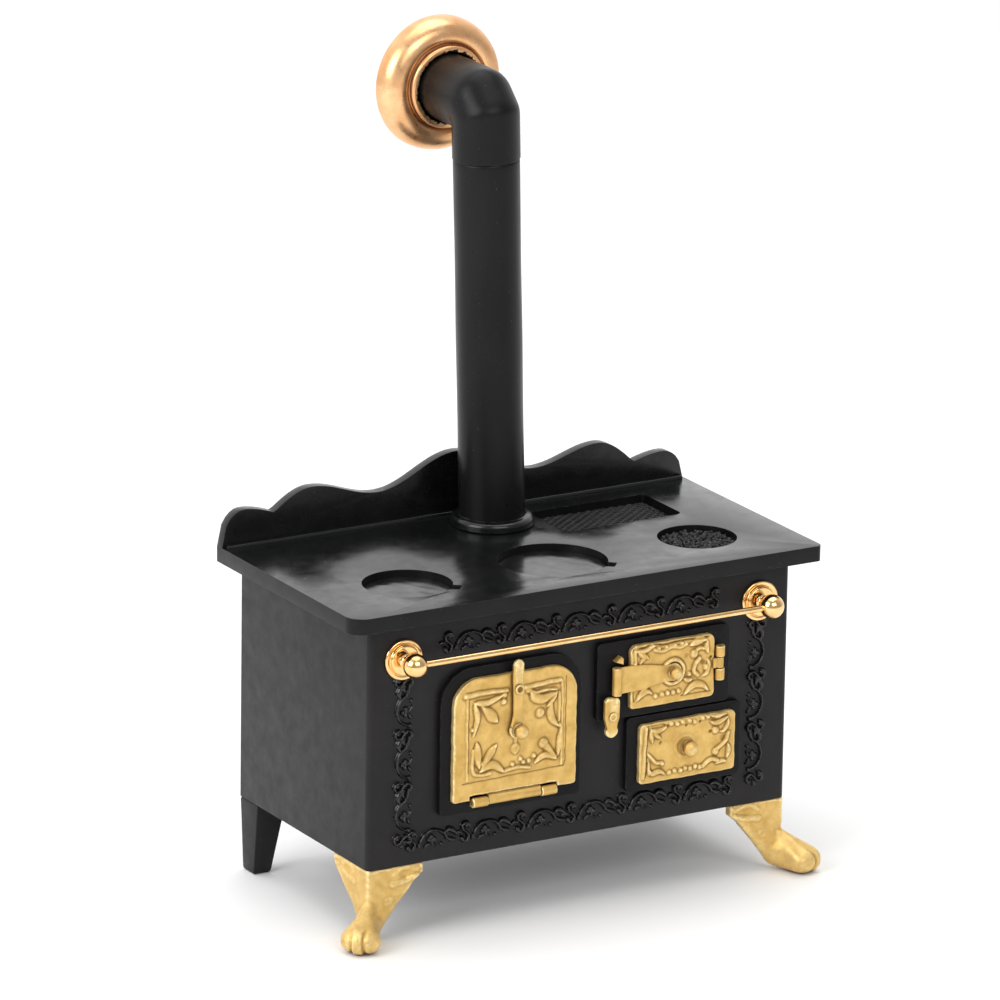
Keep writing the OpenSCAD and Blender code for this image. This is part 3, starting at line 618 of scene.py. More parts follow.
def cast_plate(low, high, back, front, rounds, draw, step=0.12, notch=None, edge=0.35):
    """An upright plate from (x, z) low to high, with its corner radii (bottom, top), its ornament from
    draw(relief), a cut-out (x0, x1, top) in its lower edge, and a front edge softened by wear."""
    (x0, z0), (x1, z1) = low, high
    bottom, top = rounds
    lips = [0, 0.06, 0.15]
    columns = spaced(sorted([x0, x1] + (list(notch[:2]) if notch else [])), step)
    columns = sorted(set(columns) | {x0 + s for s in lips} | {x1 - s for s in lips})
    middle = spaced(sorted([z0 + bottom, z1 - top] + ([notch[2]] if notch else [])), step)
    rows = corner_steps(z0 + bottom, bottom, step, False)[:-1] + middle
    rows += corner_steps(z1 - top, top, step, True)[1:]
    x, z = np.meshgrid(columns, rows)
    over, under = np.clip(z - (z1 - top), 0, top), np.clip((z0 + bottom) - z, 0, bottom)
    inset = (top - np.sqrt(top ** 2 - over ** 2)) + (bottom - np.sqrt(bottom ** 2 - under ** 2))
    band = np.where(over > 0, (x1 - x0) / 2, 3.0)
    shift = inset * (np.clip(1 - (x - x0) / band, 0, 1) - np.clip(1 - (x1 - x) / band, 0, 1))
    x = x + shift
    relief = Relief(x, z)
    draw(relief)
    side = np.minimum(x - x0, x1 - x)
    gap = np.minimum(side, np.minimum(z1 - z, z - z0))
    for radius, rise in ((top, z1 - z), (bottom, z - z0)):
        in_corner = (side < radius) & (rise < radius)
        gap = np.where(in_corner, radius - np.hypot(radius - side, radius - rise), gap)
    if notch:
        aside = np.maximum(np.maximum(notch[0] - x, x - notch[1]), 0)
        gap = np.minimum(gap, np.hypot(aside, np.maximum(z - notch[2], 0)))
    near = edge - np.clip(gap, 0, edge)
    drop = edge - np.sqrt(np.maximum(edge ** 2 - near ** 2, 0))
    y = front - relief.height * np.clip(gap / edge, 0, 1) + drop
    wobble = 0.035 * np.sin(0.9 * z + 0.4 * x0) + 0.03 * np.sin(2.3 * z)
    rise = 0.035 * np.sin(0.8 * x + 0.3 * z0) + 0.02 * np.sin(2.1 * x)
    points = np.stack([x + wobble, y, z + rise], -1).reshape(-1, 3)
    count = len(columns)
    faces = grid_faces(len(rows), count)
    if notch:
        def cut_out(face):
            mid = np.mean([(columns[i % count], rows[i // count]) for i in face], axis=0)
            return notch[0] < mid[0] < notch[1] and mid[1] < notch[2]
        faces = [f for f in faces if not cut_out(f)]
        used = sorted({i for f in faces for i in f})
        place = {old: new for new, old in enumerate(used)}
        points, faces = points[used], [[place[i] for i in f] for f in faces]
    mesh = mesh_of(points, faces)
    close_back(mesh, back)
    return mesh


def close_back(mesh, back):
    """Takes the open rim of a surface straight back to y = back and closes it there."""
    rim = [e for e in mesh.edges if e.is_boundary]
    made = bmesh.ops.extrude_edge_only(mesh, edges=rim)["geom"]
    for v in made:
        if isinstance(v, bmesh.types.BMVert):
            v.co.y = back
    bmesh.ops.edgeloop_fill(mesh, edges=[e for e in mesh.edges if e.is_boundary])


# ---- Casting, hob and back board ----

body_low = box_mm("body")[0]
hob_high = box_mm("hob_plate")[1]
board_front = box_mm("back_board")[0][1]
hob_top = hob_high[2]
body_front = body_low[1]
body_bottom = body_low[2]

keep_cad("body", SATIN, 0.5, 4)
paint_sides(keep_cad("hob_plate", HOB, 0.7, 5), HOB_SIDES)
keep_cad("back_board", BOARD, 0.6, 4)
for node in ("rear_foot_left", "rear_foot_right"):
    keep_cad(node, SATIN, 0.5)
for node in ("oven_surround", "firebox_surround", "ash_surround"):
    keep_cad(node, FRAME_SHADE, 0.35)
keep_cad("fire_grate", IRON, 0.12)
keep_cad("ash_tray", IRON, 0.2)
for node in ("oven_hinge_pin", "firebox_hinge_pin"):
    keep_cad(node, GILT, 0)

# The strip along the foot of the back board
strip_end = hob_high[0] - 0.6
profile = [(0.3, -0.2), (-1.05, -0.2), (-1.0, 0.22), (-0.9, 0.42), (-0.72, 0.52), (-0.4, 0.55), (0.3, 0.56)]
stations = np.linspace(-strip_end, strip_end, 80)
points = [(x, board_front + a, hob_top + b + 0.02 * math.sin(x * 0.7)) for x in stations for a, b in profile]
mesh = mesh_of(points, tube_faces(len(stations), len(profile)))
add_piece("back_board_strip", mesh, HOB)

for node in ("lid_left", "lid_centre"):
    low, high = box_mm(node)
    centre, radius = (low + high) / 2, (high[0] - low[0]) / 2
    thick = high[2] - low[2]
    profile = [(0, 0)] + arc((radius - 0.15, 0.15), 0.15, -90, 0, 3)
    profile += arc((radius - 0.3, thick - 0.3), 0.3, 0, 90, 5)
    profile += [(r, thick) for r in np.linspace(radius - 0.6, 0.4, 24)] + [(0, thick)]
    mesh = lathe(profile, (centre[0], centre[1], low[2]), (0, 0, 1), 96)
    for v in mesh.verts:
        if v.co.z > high[2] - 0.05:
            a, b = v.co.x * 0.9 + low[0], v.co.y * 1.1
            v.co.z -= 0.03 + 0.012 * math.sin(a) * math.cos(b) + 0.006 * math.sin(2.3 * a + b)
    add_piece(node + "_plate", mesh, LID, node, body=node)

# Coal: a bed of small broken lumps
low, high = box_mm("coal_bed")
coal_centre, coal_radius = (low + high) / 2, (high[0] - low[0]) / 2
bed_radius, bed_height = coal_radius - 0.05, 0.9
LUMPS, GOLDEN_ANGLE = 210, 2.39996
chance = np.random.default_rng(11)
mesh = lathe([(0, 0), (bed_radius, 0), (bed_radius, bed_height), (0, bed_height)],
             (coal_centre[0], coal_centre[1], low[2]), (0, 0, 1), 48)
for i in range(LUMPS):
    size = chance.uniform(0.38, 0.62)
    reach = (coal_radius - size - 0.1) * math.sqrt((i + 0.5) / LUMPS)
    turn = i * GOLDEN_ANGLE + chance.uniform(-0.2, 0.2)
    centre = Vector((coal_centre[0] + reach * math.cos(turn), coal_centre[1] + reach * math.sin(turn),
                     low[2] + bed_height + 0.05 + chance.uniform(0, 0.25)))
    made = bmesh.ops.create_icosphere(mesh, subdivisions=2, radius=size)["verts"]
    squash = Vector(chance.uniform(0.75, 1.0, 3))
    for v in made:
        bite = 1 + 0.16 * math.sin(7 * v.co.x / size + i) + 0.12 * math.sin(9 * v.co.y / size + 2 * i)
        v.co = Vector(a * b for a, b in zip(v.co, squash)) * bite
        v.co = v.co + centre
        out = Vector((v.co.x - coal_centre[0], v.co.y - coal_centre[1]))
        if out.length > bed_radius:
            out *= bed_radius / out.length
            v.co.x, v.co.y = coal_centre[0] + out.x, coal_centre[1] + out.y
        v.co.z = min(v.co.z, high[2])
add_piece("coal_lumps", mesh, COAL, "coal_bed")

# Griddle: crossed ridges in a recess
low, high = box_mm("griddle_grate")
ridge_pitch, ridge_height = 1.36, 0.38


def crossed_ridges(relief):
    for turn in (0.72, -0.92):
        along = relief.x * math.cos(turn) + relief.z * math.sin(turn)
        off = np.abs((along / ridge_pitch) % 1 - 0.5) * ridge_pitch
        relief.height = np.maximum(relief.height, ridge_height * np.clip(1.15 - off / 0.3, 0, 1))
    inside = np.minimum(np.minimum(relief.x - low[0], high[0] - relief.x),
                        np.minimum(relief.z - low[1], high[1] - relief.z))
    relief.height *= np.clip((inside - 0.4) / 0.4, 0, 1)


# The plate is made upright, so its height stands in for y until it is laid flat
mesh = cast_plate(low[:2], high[:2], -low[2], ridge_height - high[2], (1.4, 0.8), crossed_ridges, edge=0.12)
for v in mesh.verts:
    v.co = Vector((v.co.x, v.co.z, -v.co.y))
add_piece("griddle_lattice", mesh, HOB_SIDES, "griddle_grate")

# ---- Flue ----

flue_foot = (box_mm("flue_collar")[0] + box_mm("flue_collar")[1]) / 2
flue_x, flue_y = flue_foot[0], flue_foot[1]
joint_rise, stub_rise = 70.8, 81.3
joint_z, stub_z = hob_top + joint_rise, hob_top + stub_rise
lean = math.radians(1.95)
wall_y = rosette_high[1]


def leaning(mesh):
    """Leans a mesh made upright on the flue's foot to the left."""
    bmesh.ops.rotate(mesh, verts=mesh.verts, cent=(flue_x, flue_y, hob_top),
                     matrix=Matrix.Rotation(-lean, 3, "Y"))
    return mesh


seam = 0.12
profile = [(0, 0), (pipe_radius, 0)]
profile += [(pipe_radius + 0.03 * math.sin(z * 0.21), z) for z in np.linspace(0.5, joint_rise - 0.5, 60)]
profile += [(pipe_radius - 0.02, joint_rise - 0.15), (pipe_radius - seam, joint_rise), (0, joint_rise)]
mesh = leaning(lathe(profile, (flue_x, flue_y, hob_top), (0, 0, 1), 96))
for v in mesh.verts:
    v.co.z = max(v.co.z, hob_top)
add_piece("flue_tube", mesh, FLUE, "flue_pipe")

low, high = box_mm("flue_collar")
collar, rise = (high[0] - low[0]) / 2, high[2] - low[2]
hole = pipe_radius + 0.1
profile = [(hole, 0), (collar - 0.25, 0), (collar, 0.25)] + arc((collar - 0.95, 0.95), 0.95, 0, 80, 10)
profile += [(collar - 1.25, rise - 0.12), (collar - 1.5, rise - 0.05), (hole, rise)]
add_piece("flue_flange", turned_ring(profile, (flue_x, flue_y, hob_top), (0, 0, 1), 96), HOB, "flue_collar")

# Elbow: two bends, each generator running up, across the slanting middle and back to the wall
slant = 2.3
turn_z = stub_z - slant
half_bend = math.tan(math.pi / 8)
steps = 96
rings = []
for i in range(steps):
    a = 2 * math.pi * i / steps
    c, s = elbow_radius * math.cos(a), elbow_radius * math.sin(a)
    first = np.array([flue_y - c, turn_z + c * half_bend])
    second = np.array([flue_y + slant - c * half_bend, stub_z + c])
    if second[0] <= first[0]:
        first = second = np.array([flue_y - c, stub_z + c])
    start, stop = np.array([flue_y - c, joint_z]), np.array([wall_y - 0.6, stub_z + c])
    line = np.vstack([start + (first - start) * t for t in np.linspace(0, 1, 26)]
                     + [first + (second - first) * t for t in np.linspace(0, 1, 14)[1:]]
                     + [second + (stop - second) * t for t in np.linspace(0, 1, 30)[1:]])
    for _ in range(7):
        line[1:-1] = (line[:-2] + 2 * line[1:-1] + line[2:]) / 4
    rings.append([(flue_x + s, y, z) for y, z in line])
rings = np.array(rings).transpose(1, 0, 2)
tucked = rings[0].copy()
tucked[:, :2] += (np.array([flue_x, flue_y]) - tucked[:, :2]) * 0.03
rings[0][:, 2] += 0.2
stack = np.vstack([[tucked], rings])
mesh = mesh_of(stack.reshape(-1, 3), tube_faces(len(stack), steps))
add_piece("flue_bend", leaning(mesh), FLUE, "flue_elbow")

# Rosette: a broad bell, a soft groove and a rounded inner ring
rosette_radius = (rosette_high[0] - rosette_low[0]) / 2
depth = rosette_high[1] - rosette_low[1]
hole, crest_radius, groove_radius = elbow_radius + 0.04, 9.1, 8.05
dome = depth - 1.5
bell = rosette_radius - 0.02 - crest_radius
profile = [(hole, 0), (rosette_radius - 0.25, 0), (rosette_radius - 0.02, 0.25)]
profile += [(crest_radius + bell * math.cos(a), 0.5 + (dome - 0.5) * math.sin(a) ** 0.9)
            for a in np.linspace(0.1, math.pi / 2, 24)]
profile += [(groove_radius + out, dome + rise) for out, rise in (
    (0.7, -0.05), (0.4, -0.18), (0.17, -0.42), (0, -0.5), (-0.14, -0.38), (-0.2, 0))]
profile += arc((groove_radius - 0.75, dome + 0.25), 0.55, 10, 85, 7)
profile += [(groove_radius - 1.0, dome + 0.84), (groove_radius - 1.25, dome + 0.86)]
profile += [(hole + 0.12, dome + 0.7), (hole, dome + 0.5)]
mesh = turned_ring(profile, (flue_x, wall_y, stub_z), (0, -1, 0), 128)
add_piece("wall_rose", leaning(mesh), COPPER, "wall_rosette")

# ---- Rail ----

low, high = box_mm("rail_rod")
rod_radius = (high[2] - low[2]) / 2
rod_y, rod_z = (low[1] + high[1]) / 2, (low[2] + high[2]) / 2
profile = rounded_rod(rod_radius, high[0] - low[0], 0.1)
add_piece("towel_rod", lathe(profile, (low[0], rod_y, rod_z), (1, 0, 0), 40), BRASS, "rail_rod")
for side in ("left", "right"):
    low, high = box_mm("rail_rose_" + side)
    centre = (low + high) / 2
    radius = (high[0] - low[0]) / 2
    thick = high[1] - low[1]
    profile = [(0, 0), (radius - 0.1, 0), (radius, 0.12)] + arc((radius - 0.38, 0.42), 0.38, 0, 90, 6)
    profile += [(3.15, 0.74), (3.02, 0.68), (2.92, 0.78)] + arc((2.55, 0.95), 0.32, 0, 90, 5)
    profile += [(1.9, thick - 0.08), (1.3, thick - 0.02), (0, thick)]
    mesh = lathe(profile, (centre[0], high[1], centre[2]), (0, -1, 0), 72)
    add_piece("rail_plate_" + side, mesh, BRASS, "rail_rose_" + side)
    low, high = box_mm("rail_post_" + side)
    radius = (high[2] - low[2]) / 2
    reach = high[1] - rod_y
    inner = math.asin(0.95 / radius)
    neck = reach - radius * math.cos(inner)
    profile = [(0, 0), (1.35, 0)]
    profile += [(1.35 - 0.4 * math.sin(math.pi * t), t * neck) for t in np.linspace(0.1, 0.95, 8)]
    profile += [(radius * math.sin(a), reach - radius * math.cos(a)) for a in np.linspace(inner, math.pi, 22)]
    profile[-1] = (0, reach + radius)
    mesh = lathe(profile, ((low[0] + high[0]) / 2, high[1], rod_z), (0, -1, 0), 56)
    add_piece("rail_knob_" + side, mesh, BRASS, "rail_post_" + side)

# ---- Vine relief ----

chance = np.random.default_rng(5)


def vine_unit(relief, place, arch):
    """A hook with a curl and a foot, then an arch that ends in a leaf over a small flower."""
    def at(*points):
        return [place(u, v + chance.uniform(-0.05, 0.05)) for u, v in points]

    thick, tall = 0.36, 0.85
    relief.stem(at((0.75, 0.95), (0.45, 1.65), (-0.25, 1.85), (-0.85, 1.35), (-0.7, 0.6), (-0.05, 0.0),
                   (0.45, -0.6), (0.3, -1.35), (-0.35, -1.7), (-0.95, -1.35)), thick, tall, (0.8, 1.0))
    relief.bead(*place(0.1, 1.2), 0.5, 0.72)
    relief.bead(*place(-0.85, -1.2), 0.55, 0.9)
    relief.leaf(at((-0.6, -0.2), (-1.5, 0.15), (-2.3, -0.25)), 0.42, 0.65)
    if not arch:
        return
    relief.stem(at((1.5, -1.3), (1.75, -0.2), (2.7, 0.95), (4.2, 1.45), (5.8, 1.15), (6.9, 0.3),
                   (7.3, -0.5)), thick * 0.95, tall * 0.9, (0.7, 1.0))
    relief.leaf(at((6.6, 0.7), (7.8, 1.15), (8.9, 0.55), (9.5, -0.3)), 0.55, 0.85)
    relief.leaf(at((7.3, -0.3), (8.2, -0.9), (9.3, -1.0)), 0.45, 0.7)
    relief.bead(*place(1.45, -1.2), 0.5, 0.8)
    for u, v in ((4.1, 0.25), (3.55, -0.35), (4.75, -0.4)):
        relief.bead(*place(u, v), 0.5, 0.7)
    relief.stem(at((4.2, -0.4), (4.35, -1.2), (5.1, -1.7)), 0.3, 0.6, (1, 0.7))
    relief.leaf(at((3.9, -1.0), (3.1, -1.35), (2.6, -1.9)), 0.36, 0.6)
    relief.bead(*place(6.2, -1.5), 0.42, 0.65)


def vine_strip(name, low, high, units):
    """A strip of vine sunk just into the casting, so that only the ornament shows."""
    reach, step = 0.55, 0.13
    columns = spaced([low[0] - reach, high[0] + reach], step)
    rows = spaced([low[2] - reach, high[2] + reach], step)
    x, z = np.meshgrid(columns, rows)
    relief = Relief(x, z)
    for place, arch in units:
        vine_unit(relief, place, arch)
    relief.soften(1)
    rim = np.minimum(np.minimum(x - columns[0], columns[-1] - x), np.minimum(z - rows[0], rows[-1] - z))
    relief.height *= np.clip(rim / 0.25, 0, 1)
    y = body_front + 0.07 - relief.height
    points = np.stack([x, np.maximum(y, low[1]), z], -1).reshape(-1, 3)
    mesh = mesh_of(points, grid_faces(len(rows), len(columns)))
    close_back(mesh, body_front + 0.3)
    add_piece("vine_" + name, mesh, FRIEZE, "frieze_" + name)


def across(start, middle):
    return lambda u, v: (start + u, middle + v)


def upward(middle, start, mirror):
    return lambda u, v: (middle + mirror * v, start + u)


# Where the units of the level strips start. The last of each has no room for its arch.
for name, starts in (("top", (-28.5, -17.3, -5.7, 6.2, 16.7, 28.5)),
                     ("bottom", (-35.8, -24.4, -12.6, -1.8, 9.2, 21.2, 32.2))):
    low, high = box_mm("frieze_" + name)
    middle = (low[2] + high[2]) / 2
    vine_strip(name, low, high, [(across(start, middle), start < starts[-1]) for start in starts])
lower_by, raise_by, unit_pitch, side_units = 3.0, 3.6, 10.1, 4
for side, mirror in (("left", -1), ("right", 1)):
    low, high = box_mm("frieze_" + side)
    middle = (low[0] + high[0]) / 2
    low[2] -= lower_by
    high[2] += raise_by
    first = low[2] + 1.4
    vine_strip(side, low, high, [(upward(middle, first + unit_pitch * i, mirror), i < side_units - 1)
                                 for i in range(side_units)])

# ---- Oven door ----

surround_front = box_mm("oven_surround")[0][1]
door_thickness = 1.0
plate_back = surround_front - 0.05
plate_front = plate_back - door_thickness
door_low, door_high = box_mm("oven_door")
oven_low, oven_high = (door_low[0], 25.4), (door_high[0], door_high[2])
bar_low, bar_high = box_mm("oven_latch_bar")
oven_mid = (bar_low[0] + bar_high[0]) / 2
hinge_low, hinge_high = box_mm("oven_hinge_brackets")
hinge_radius, rod_radius = 0.95, 0.75
knuckle, knuckle_gap = 3.2, 0.15
hinge_y, hinge_z = hinge_low[1] + hinge_radius, hinge_high[2] - hinge_radius


def oven_ornament(r):
    # raised frame with its ridges and the long groove under it
    r.stem([(-25.9, 45.75), (-20.5, 45.9), (-17.2, 45.7)], 0.5, 0.34, (1.1, 0.8))
    r.stem([(-13.3, 45.65), (-9.5, 45.85), (-5.9, 46.0)], 0.45, 0.30)
    r.stem([(-25.5, 29.4), (-25.6, 37.5), (-25.6, 45.6)], 0.22, 0.14)
    r.stem([(-5.5, 45.8), (-5.4, 37.0), (-5.5, 29.6)], 0.26, 0.20)
    r.stem([(-17.5, 30.15), (-15.0, 30.45), (-12.3, 30.1)], 0.35, 0.26)
    # top left: a long leaf along the frame, a drop leaf, a leaf down the side
    r.leaf([(-24.3, 44.2), (-22.6, 43.9), (-20.8, 44.0), (-18.9, 44.7), (-17.6, 45.2)], 0.62, 0.38, 0.3)
    r.leaf([(-22.6, 43.3), (-21.3, 42.1), (-20.2, 40.9), (-19.2, 40.0)], 1.05, 0.40, 0.62)
    r.leaf([(-24.2, 44.2), (-23.7, 42.4), (-23.5, 40.8), (-23.9, 39.3), (-24.3, 37.7)], 0.62, 0.38, 0.35)
    r.bead(-24.5, 39.1, 0.4, 0.32)
    # bottom left: three petals from one root
    r.leaf([(-22.9, 31.4), (-23.3, 33.4), (-23.5, 35.6), (-23.6, 36.5)], 0.86, 0.40, 0.6)
    r.leaf([(-22.6, 31.2), (-21.4, 33.0), (-20.1, 34.8), (-19.4, 35.6)], 0.80, 0.38, 0.62)
    r.leaf([(-22.9, 30.7), (-21.2, 31.7), (-19.6, 31.6), (-17.7, 30.0)], 0.85, 0.38, 0.5)
    r.stem([(-24.3, 35.0), (-24.4, 32.5), (-24.1, 30.6), (-22.6, 30.1), (-20.6, 30.2)], 0.34, 0.24)
    r.bead(-22.3, 32.2, 0.5, 0.40)
    # top right: a wing leaf, its stem, a crescent and a boss
    r.leaf([(-12.4, 44.7), (-11.3, 43.4), (-9.6, 42.9), (-8.0, 43.3), (-6.6, 43.8)], 0.98, 0.42, 0.35)
    r.stem([(-12.5, 45.2), (-11.2, 44.4), (-9.2, 44.5), (-6.8, 44.3)], 0.26, 0.30)
    r.leaf([(-6.7, 43.5), (-7.6, 42.4), (-8.8, 41.2)], 0.50, 0.36, 0.4)
    r.leaf([(-7.9, 42.1), (-8.0, 40.4), (-7.6, 38.7), (-6.2, 37.1)], 0.80, 0.38, 0.45)
    r.bead(-10.2, 40.3, 0.95, 0.44)
    r.stem([(-6.1, 43.6), (-6.0, 40.5), (-6.1, 38.2)], 0.3, 0.22)
    # bottom right: a bud on a thick stem between two leaves, with beads beside it
    r.bead(-9.4, 34.3, 1.0, 0.44)
    r.stem([(-9.4, 34.3), (-8.2, 32.9), (-6.9, 31.4)], 0.78, 0.38, (1, 0.6))
    r.leaf([(-6.3, 31.4), (-6.0, 33.4), (-5.9, 35.4), (-5.7, 37.2)], 0.62, 0.38, 0.4)
    r.leaf([(-6.5, 30.8), (-8.4, 31.8), (-9.8, 31.7), (-11.3, 30.7)], 0.66, 0.38, 0.45)
    r.bead(-5.9, 37.3, 0.5, 0.36)
    for x, z in ((-14.2, 32.0), (-13.6, 31.3), (-12.4, 31.4), (-11.3, 32.2), (-15.9, 31.2)):
        r.bead(x, z, 0.46, 0.34)
    # by the latch: two blocks, and a drop under the knob
    for x, z in ((-17.8, 44.9), (-12.8, 45.1), (-17.9, 43.6)):
        r.bead(x, z, 0.62, 0.34)
    r.stem([(oven_mid - 0.1, 36.2), (oven_mid - 0.1, 34.8)], 0.34, 0.20)
    r.leaf([(oven_mid - 0.1, 35.3), (oven_mid - 0.1, 34.2), (oven_mid - 0.1, 33.1)], 1.05, 0.28)
    r.soften(1)
    r.groove([(-26.4, 28.9), (-15.0, 29.15), (-4.9, 29.3), (-4.6, 30.4), (-4.6, 46.6)], 0.20, 0.11, False)
    r.groove([(-25.2, 31.0), (-25.2, 44.6)], 0.16, 0.07, False)
    r.height += 0.035 * np.sin(r.x * 0.55 + 1) * np.sin(r.z * 0.5)
    r.height += 0.012 * np.sin(r.x * 2.3) * np.sin(r.z * 2.9)


mesh = cast_plate(oven_low, oven_high, plate_back, plate_front, (0.6, 5.2), oven_ornament,
                  notch=(hinge_low[0] - 0.3, hinge_high[0] + 0.3, hinge_z + 1.2))
rod_start, rod_end = hinge_low[0] + knuckle + knuckle_gap, hinge_high[0] - knuckle - knuckle_gap
lathe(rounded_rod(rod_radius, rod_end - rod_start, 0.12), (rod_start, hinge_y, hinge_z), (1, 0, 0), 28, mesh)
strip = rectangle(rod_start, rod_end, hinge_z - 0.1, hinge_z + 1.15)
slab(strip, plate_back - 0.25, hinge_y - 0.42, 0.12, mesh)
lip = rectangle(rod_start, rod_end, hinge_z + 0.75, hinge_z + 1.25)
slab(lip, plate_back - 0.25, plate_front + 0.02, 0.1, mesh)
add_piece("oven_door_cast", mesh, GILT, "oven_door", body="oven_door")

mesh = bmesh.new()
for start, stop in ((hinge_low[0], hinge_low[0] + knuckle), (hinge_high[0] - knuckle, hinge_high[0])):
    lathe(rounded_rod(hinge_radius, stop - start, 0.2), (start, hinge_y, hinge_z), (1, 0, 0), 36, mesh)
    foot = rectangle(start + 0.1, stop - 0.1, hinge_z - 0.85, hinge_z + 0.25)
    slab(foot, surround_front, hinge_y, 0.05, mesh)
add_piece("oven_knuckles", mesh, GILT, "oven_hinge_brackets")

# Latch bar: a round-topped finger with a ring round its rivet and a round foot under the knob
rivet_low, rivet_high = box_mm("oven_latch_rivet")
rivet_z = (rivet_low[2] + rivet_high[2]) / 2
knob_low, knob_high = box_mm("oven_knob")
knob_z = (knob_low[2] + knob_high[2]) / 2
half, foot_radius = 1.12, 1.7
outline = [(oven_mid + half * 0.98, rivet_z + 2.2)] + arc((oven_mid, bar_high[2] - half), half, 0, 180, 16)
outline += [(oven_mid - half * 0.98, rivet_z + 1.6), (oven_mid - 0.95, rivet_z - 2.2)]
outline += [(oven_mid - 0.92, knob_z + 3.2), (oven_mid - 1.1, knob_z + 2.1)]
outline += arc((oven_mid, knob_z), foot_radius, 146, 394, 26)
outline += [(oven_mid + 1.1, knob_z + 2.1), (oven_mid + 0.92, knob_z + 3.2), (oven_mid + 0.95, rivet_z - 2.2)]
mesh = slab(outline, bar_high[1], bar_low[1] + 0.12, 0.28)
add_piece("latch_finger", mesh, GILT, "oven_latch_bar", body="oven_latch")
reach = rivet_high[1] - rivet_low[1]
profile = [(0, 0), (0.38, 0), (0.38, reach - 0.3), (0.92, reach - 0.3)]
profile += arc((0.78, reach - 0.15), 0.15, 0, 90, 5)
profile += [(0.6, reach - 0.03), (0.45, reach - 0.16), (0.2, reach - 0.22), (0, reach - 0.22)]
mesh = lathe(profile, (oven_mid, rivet_high[1], rivet_z), (0, -1, 0), 40)
add_piece("latch_rivet", mesh, GILT, "oven_latch_rivet", body="oven_door")


def cast_knob(name, node, body, sunk=0.0, flat=0.78):
    """A flattened ball on a short neck that flares into its plate, its foot sunk under the CAD knob's."""
    low, high = box_mm(node)
    radius = (high[0] - low[0]) / 2
    centre, reach = (low + high) / 2, (high[1] - low[1]) * flat + sunk
    half = reach * 0.44
    profile = [(0, 0), (radius * 0.98, 0)]
    profile += [(radius * (0.98 - 0.36 * t ** 0.6), reach * 0.14 * t) for t in (0.3, 0.6, 1)]
    profile += [(radius * math.sin(a), reach - half * (1 + math.cos(a)))
                for a in np.linspace(0.75, math.pi, 22)]
    profile[-1] = (0, reach)
    mesh = lathe(profile, (centre[0], high[1] + sunk, centre[2]), (0, -1, 0), 44)
    for v in mesh.verts:
        v.co.x += 0.04 * math.sin(3.1 * v.co.z + 2 * v.co.y)
        v.co.z += 0.04 * math.sin(2.7 * v.co.x + v.co.y)
    # painted highlight on the crown and painted shade at the foot, kept as crest values for the gilt paint
    tip = high[1] + sunk - reach
    painted_light = [0.07 - 0.24 * (v.co.y - tip) / reach for v in mesh.verts]
    piece = add_piece(name, mesh, GILT, node, body=body)
    piece.data.attributes["crest"].data.foreach_set("value", painted_light)


cast_knob("oven_door_knob", "oven_knob", "oven_latch")

# ---- Firebox door ----

fire_low, fire_high = (9.2, 37.7), (27.4, 50.0)
fire_mid = ((fire_low[0] + fire_high[0]) / 2, (fire_low[1] + fire_high[1]) / 2)
strap_low, strap_high = box_mm("firebox_strap")
tube_radius = 0.9
tube_x = strap_low[0] + tube_radius


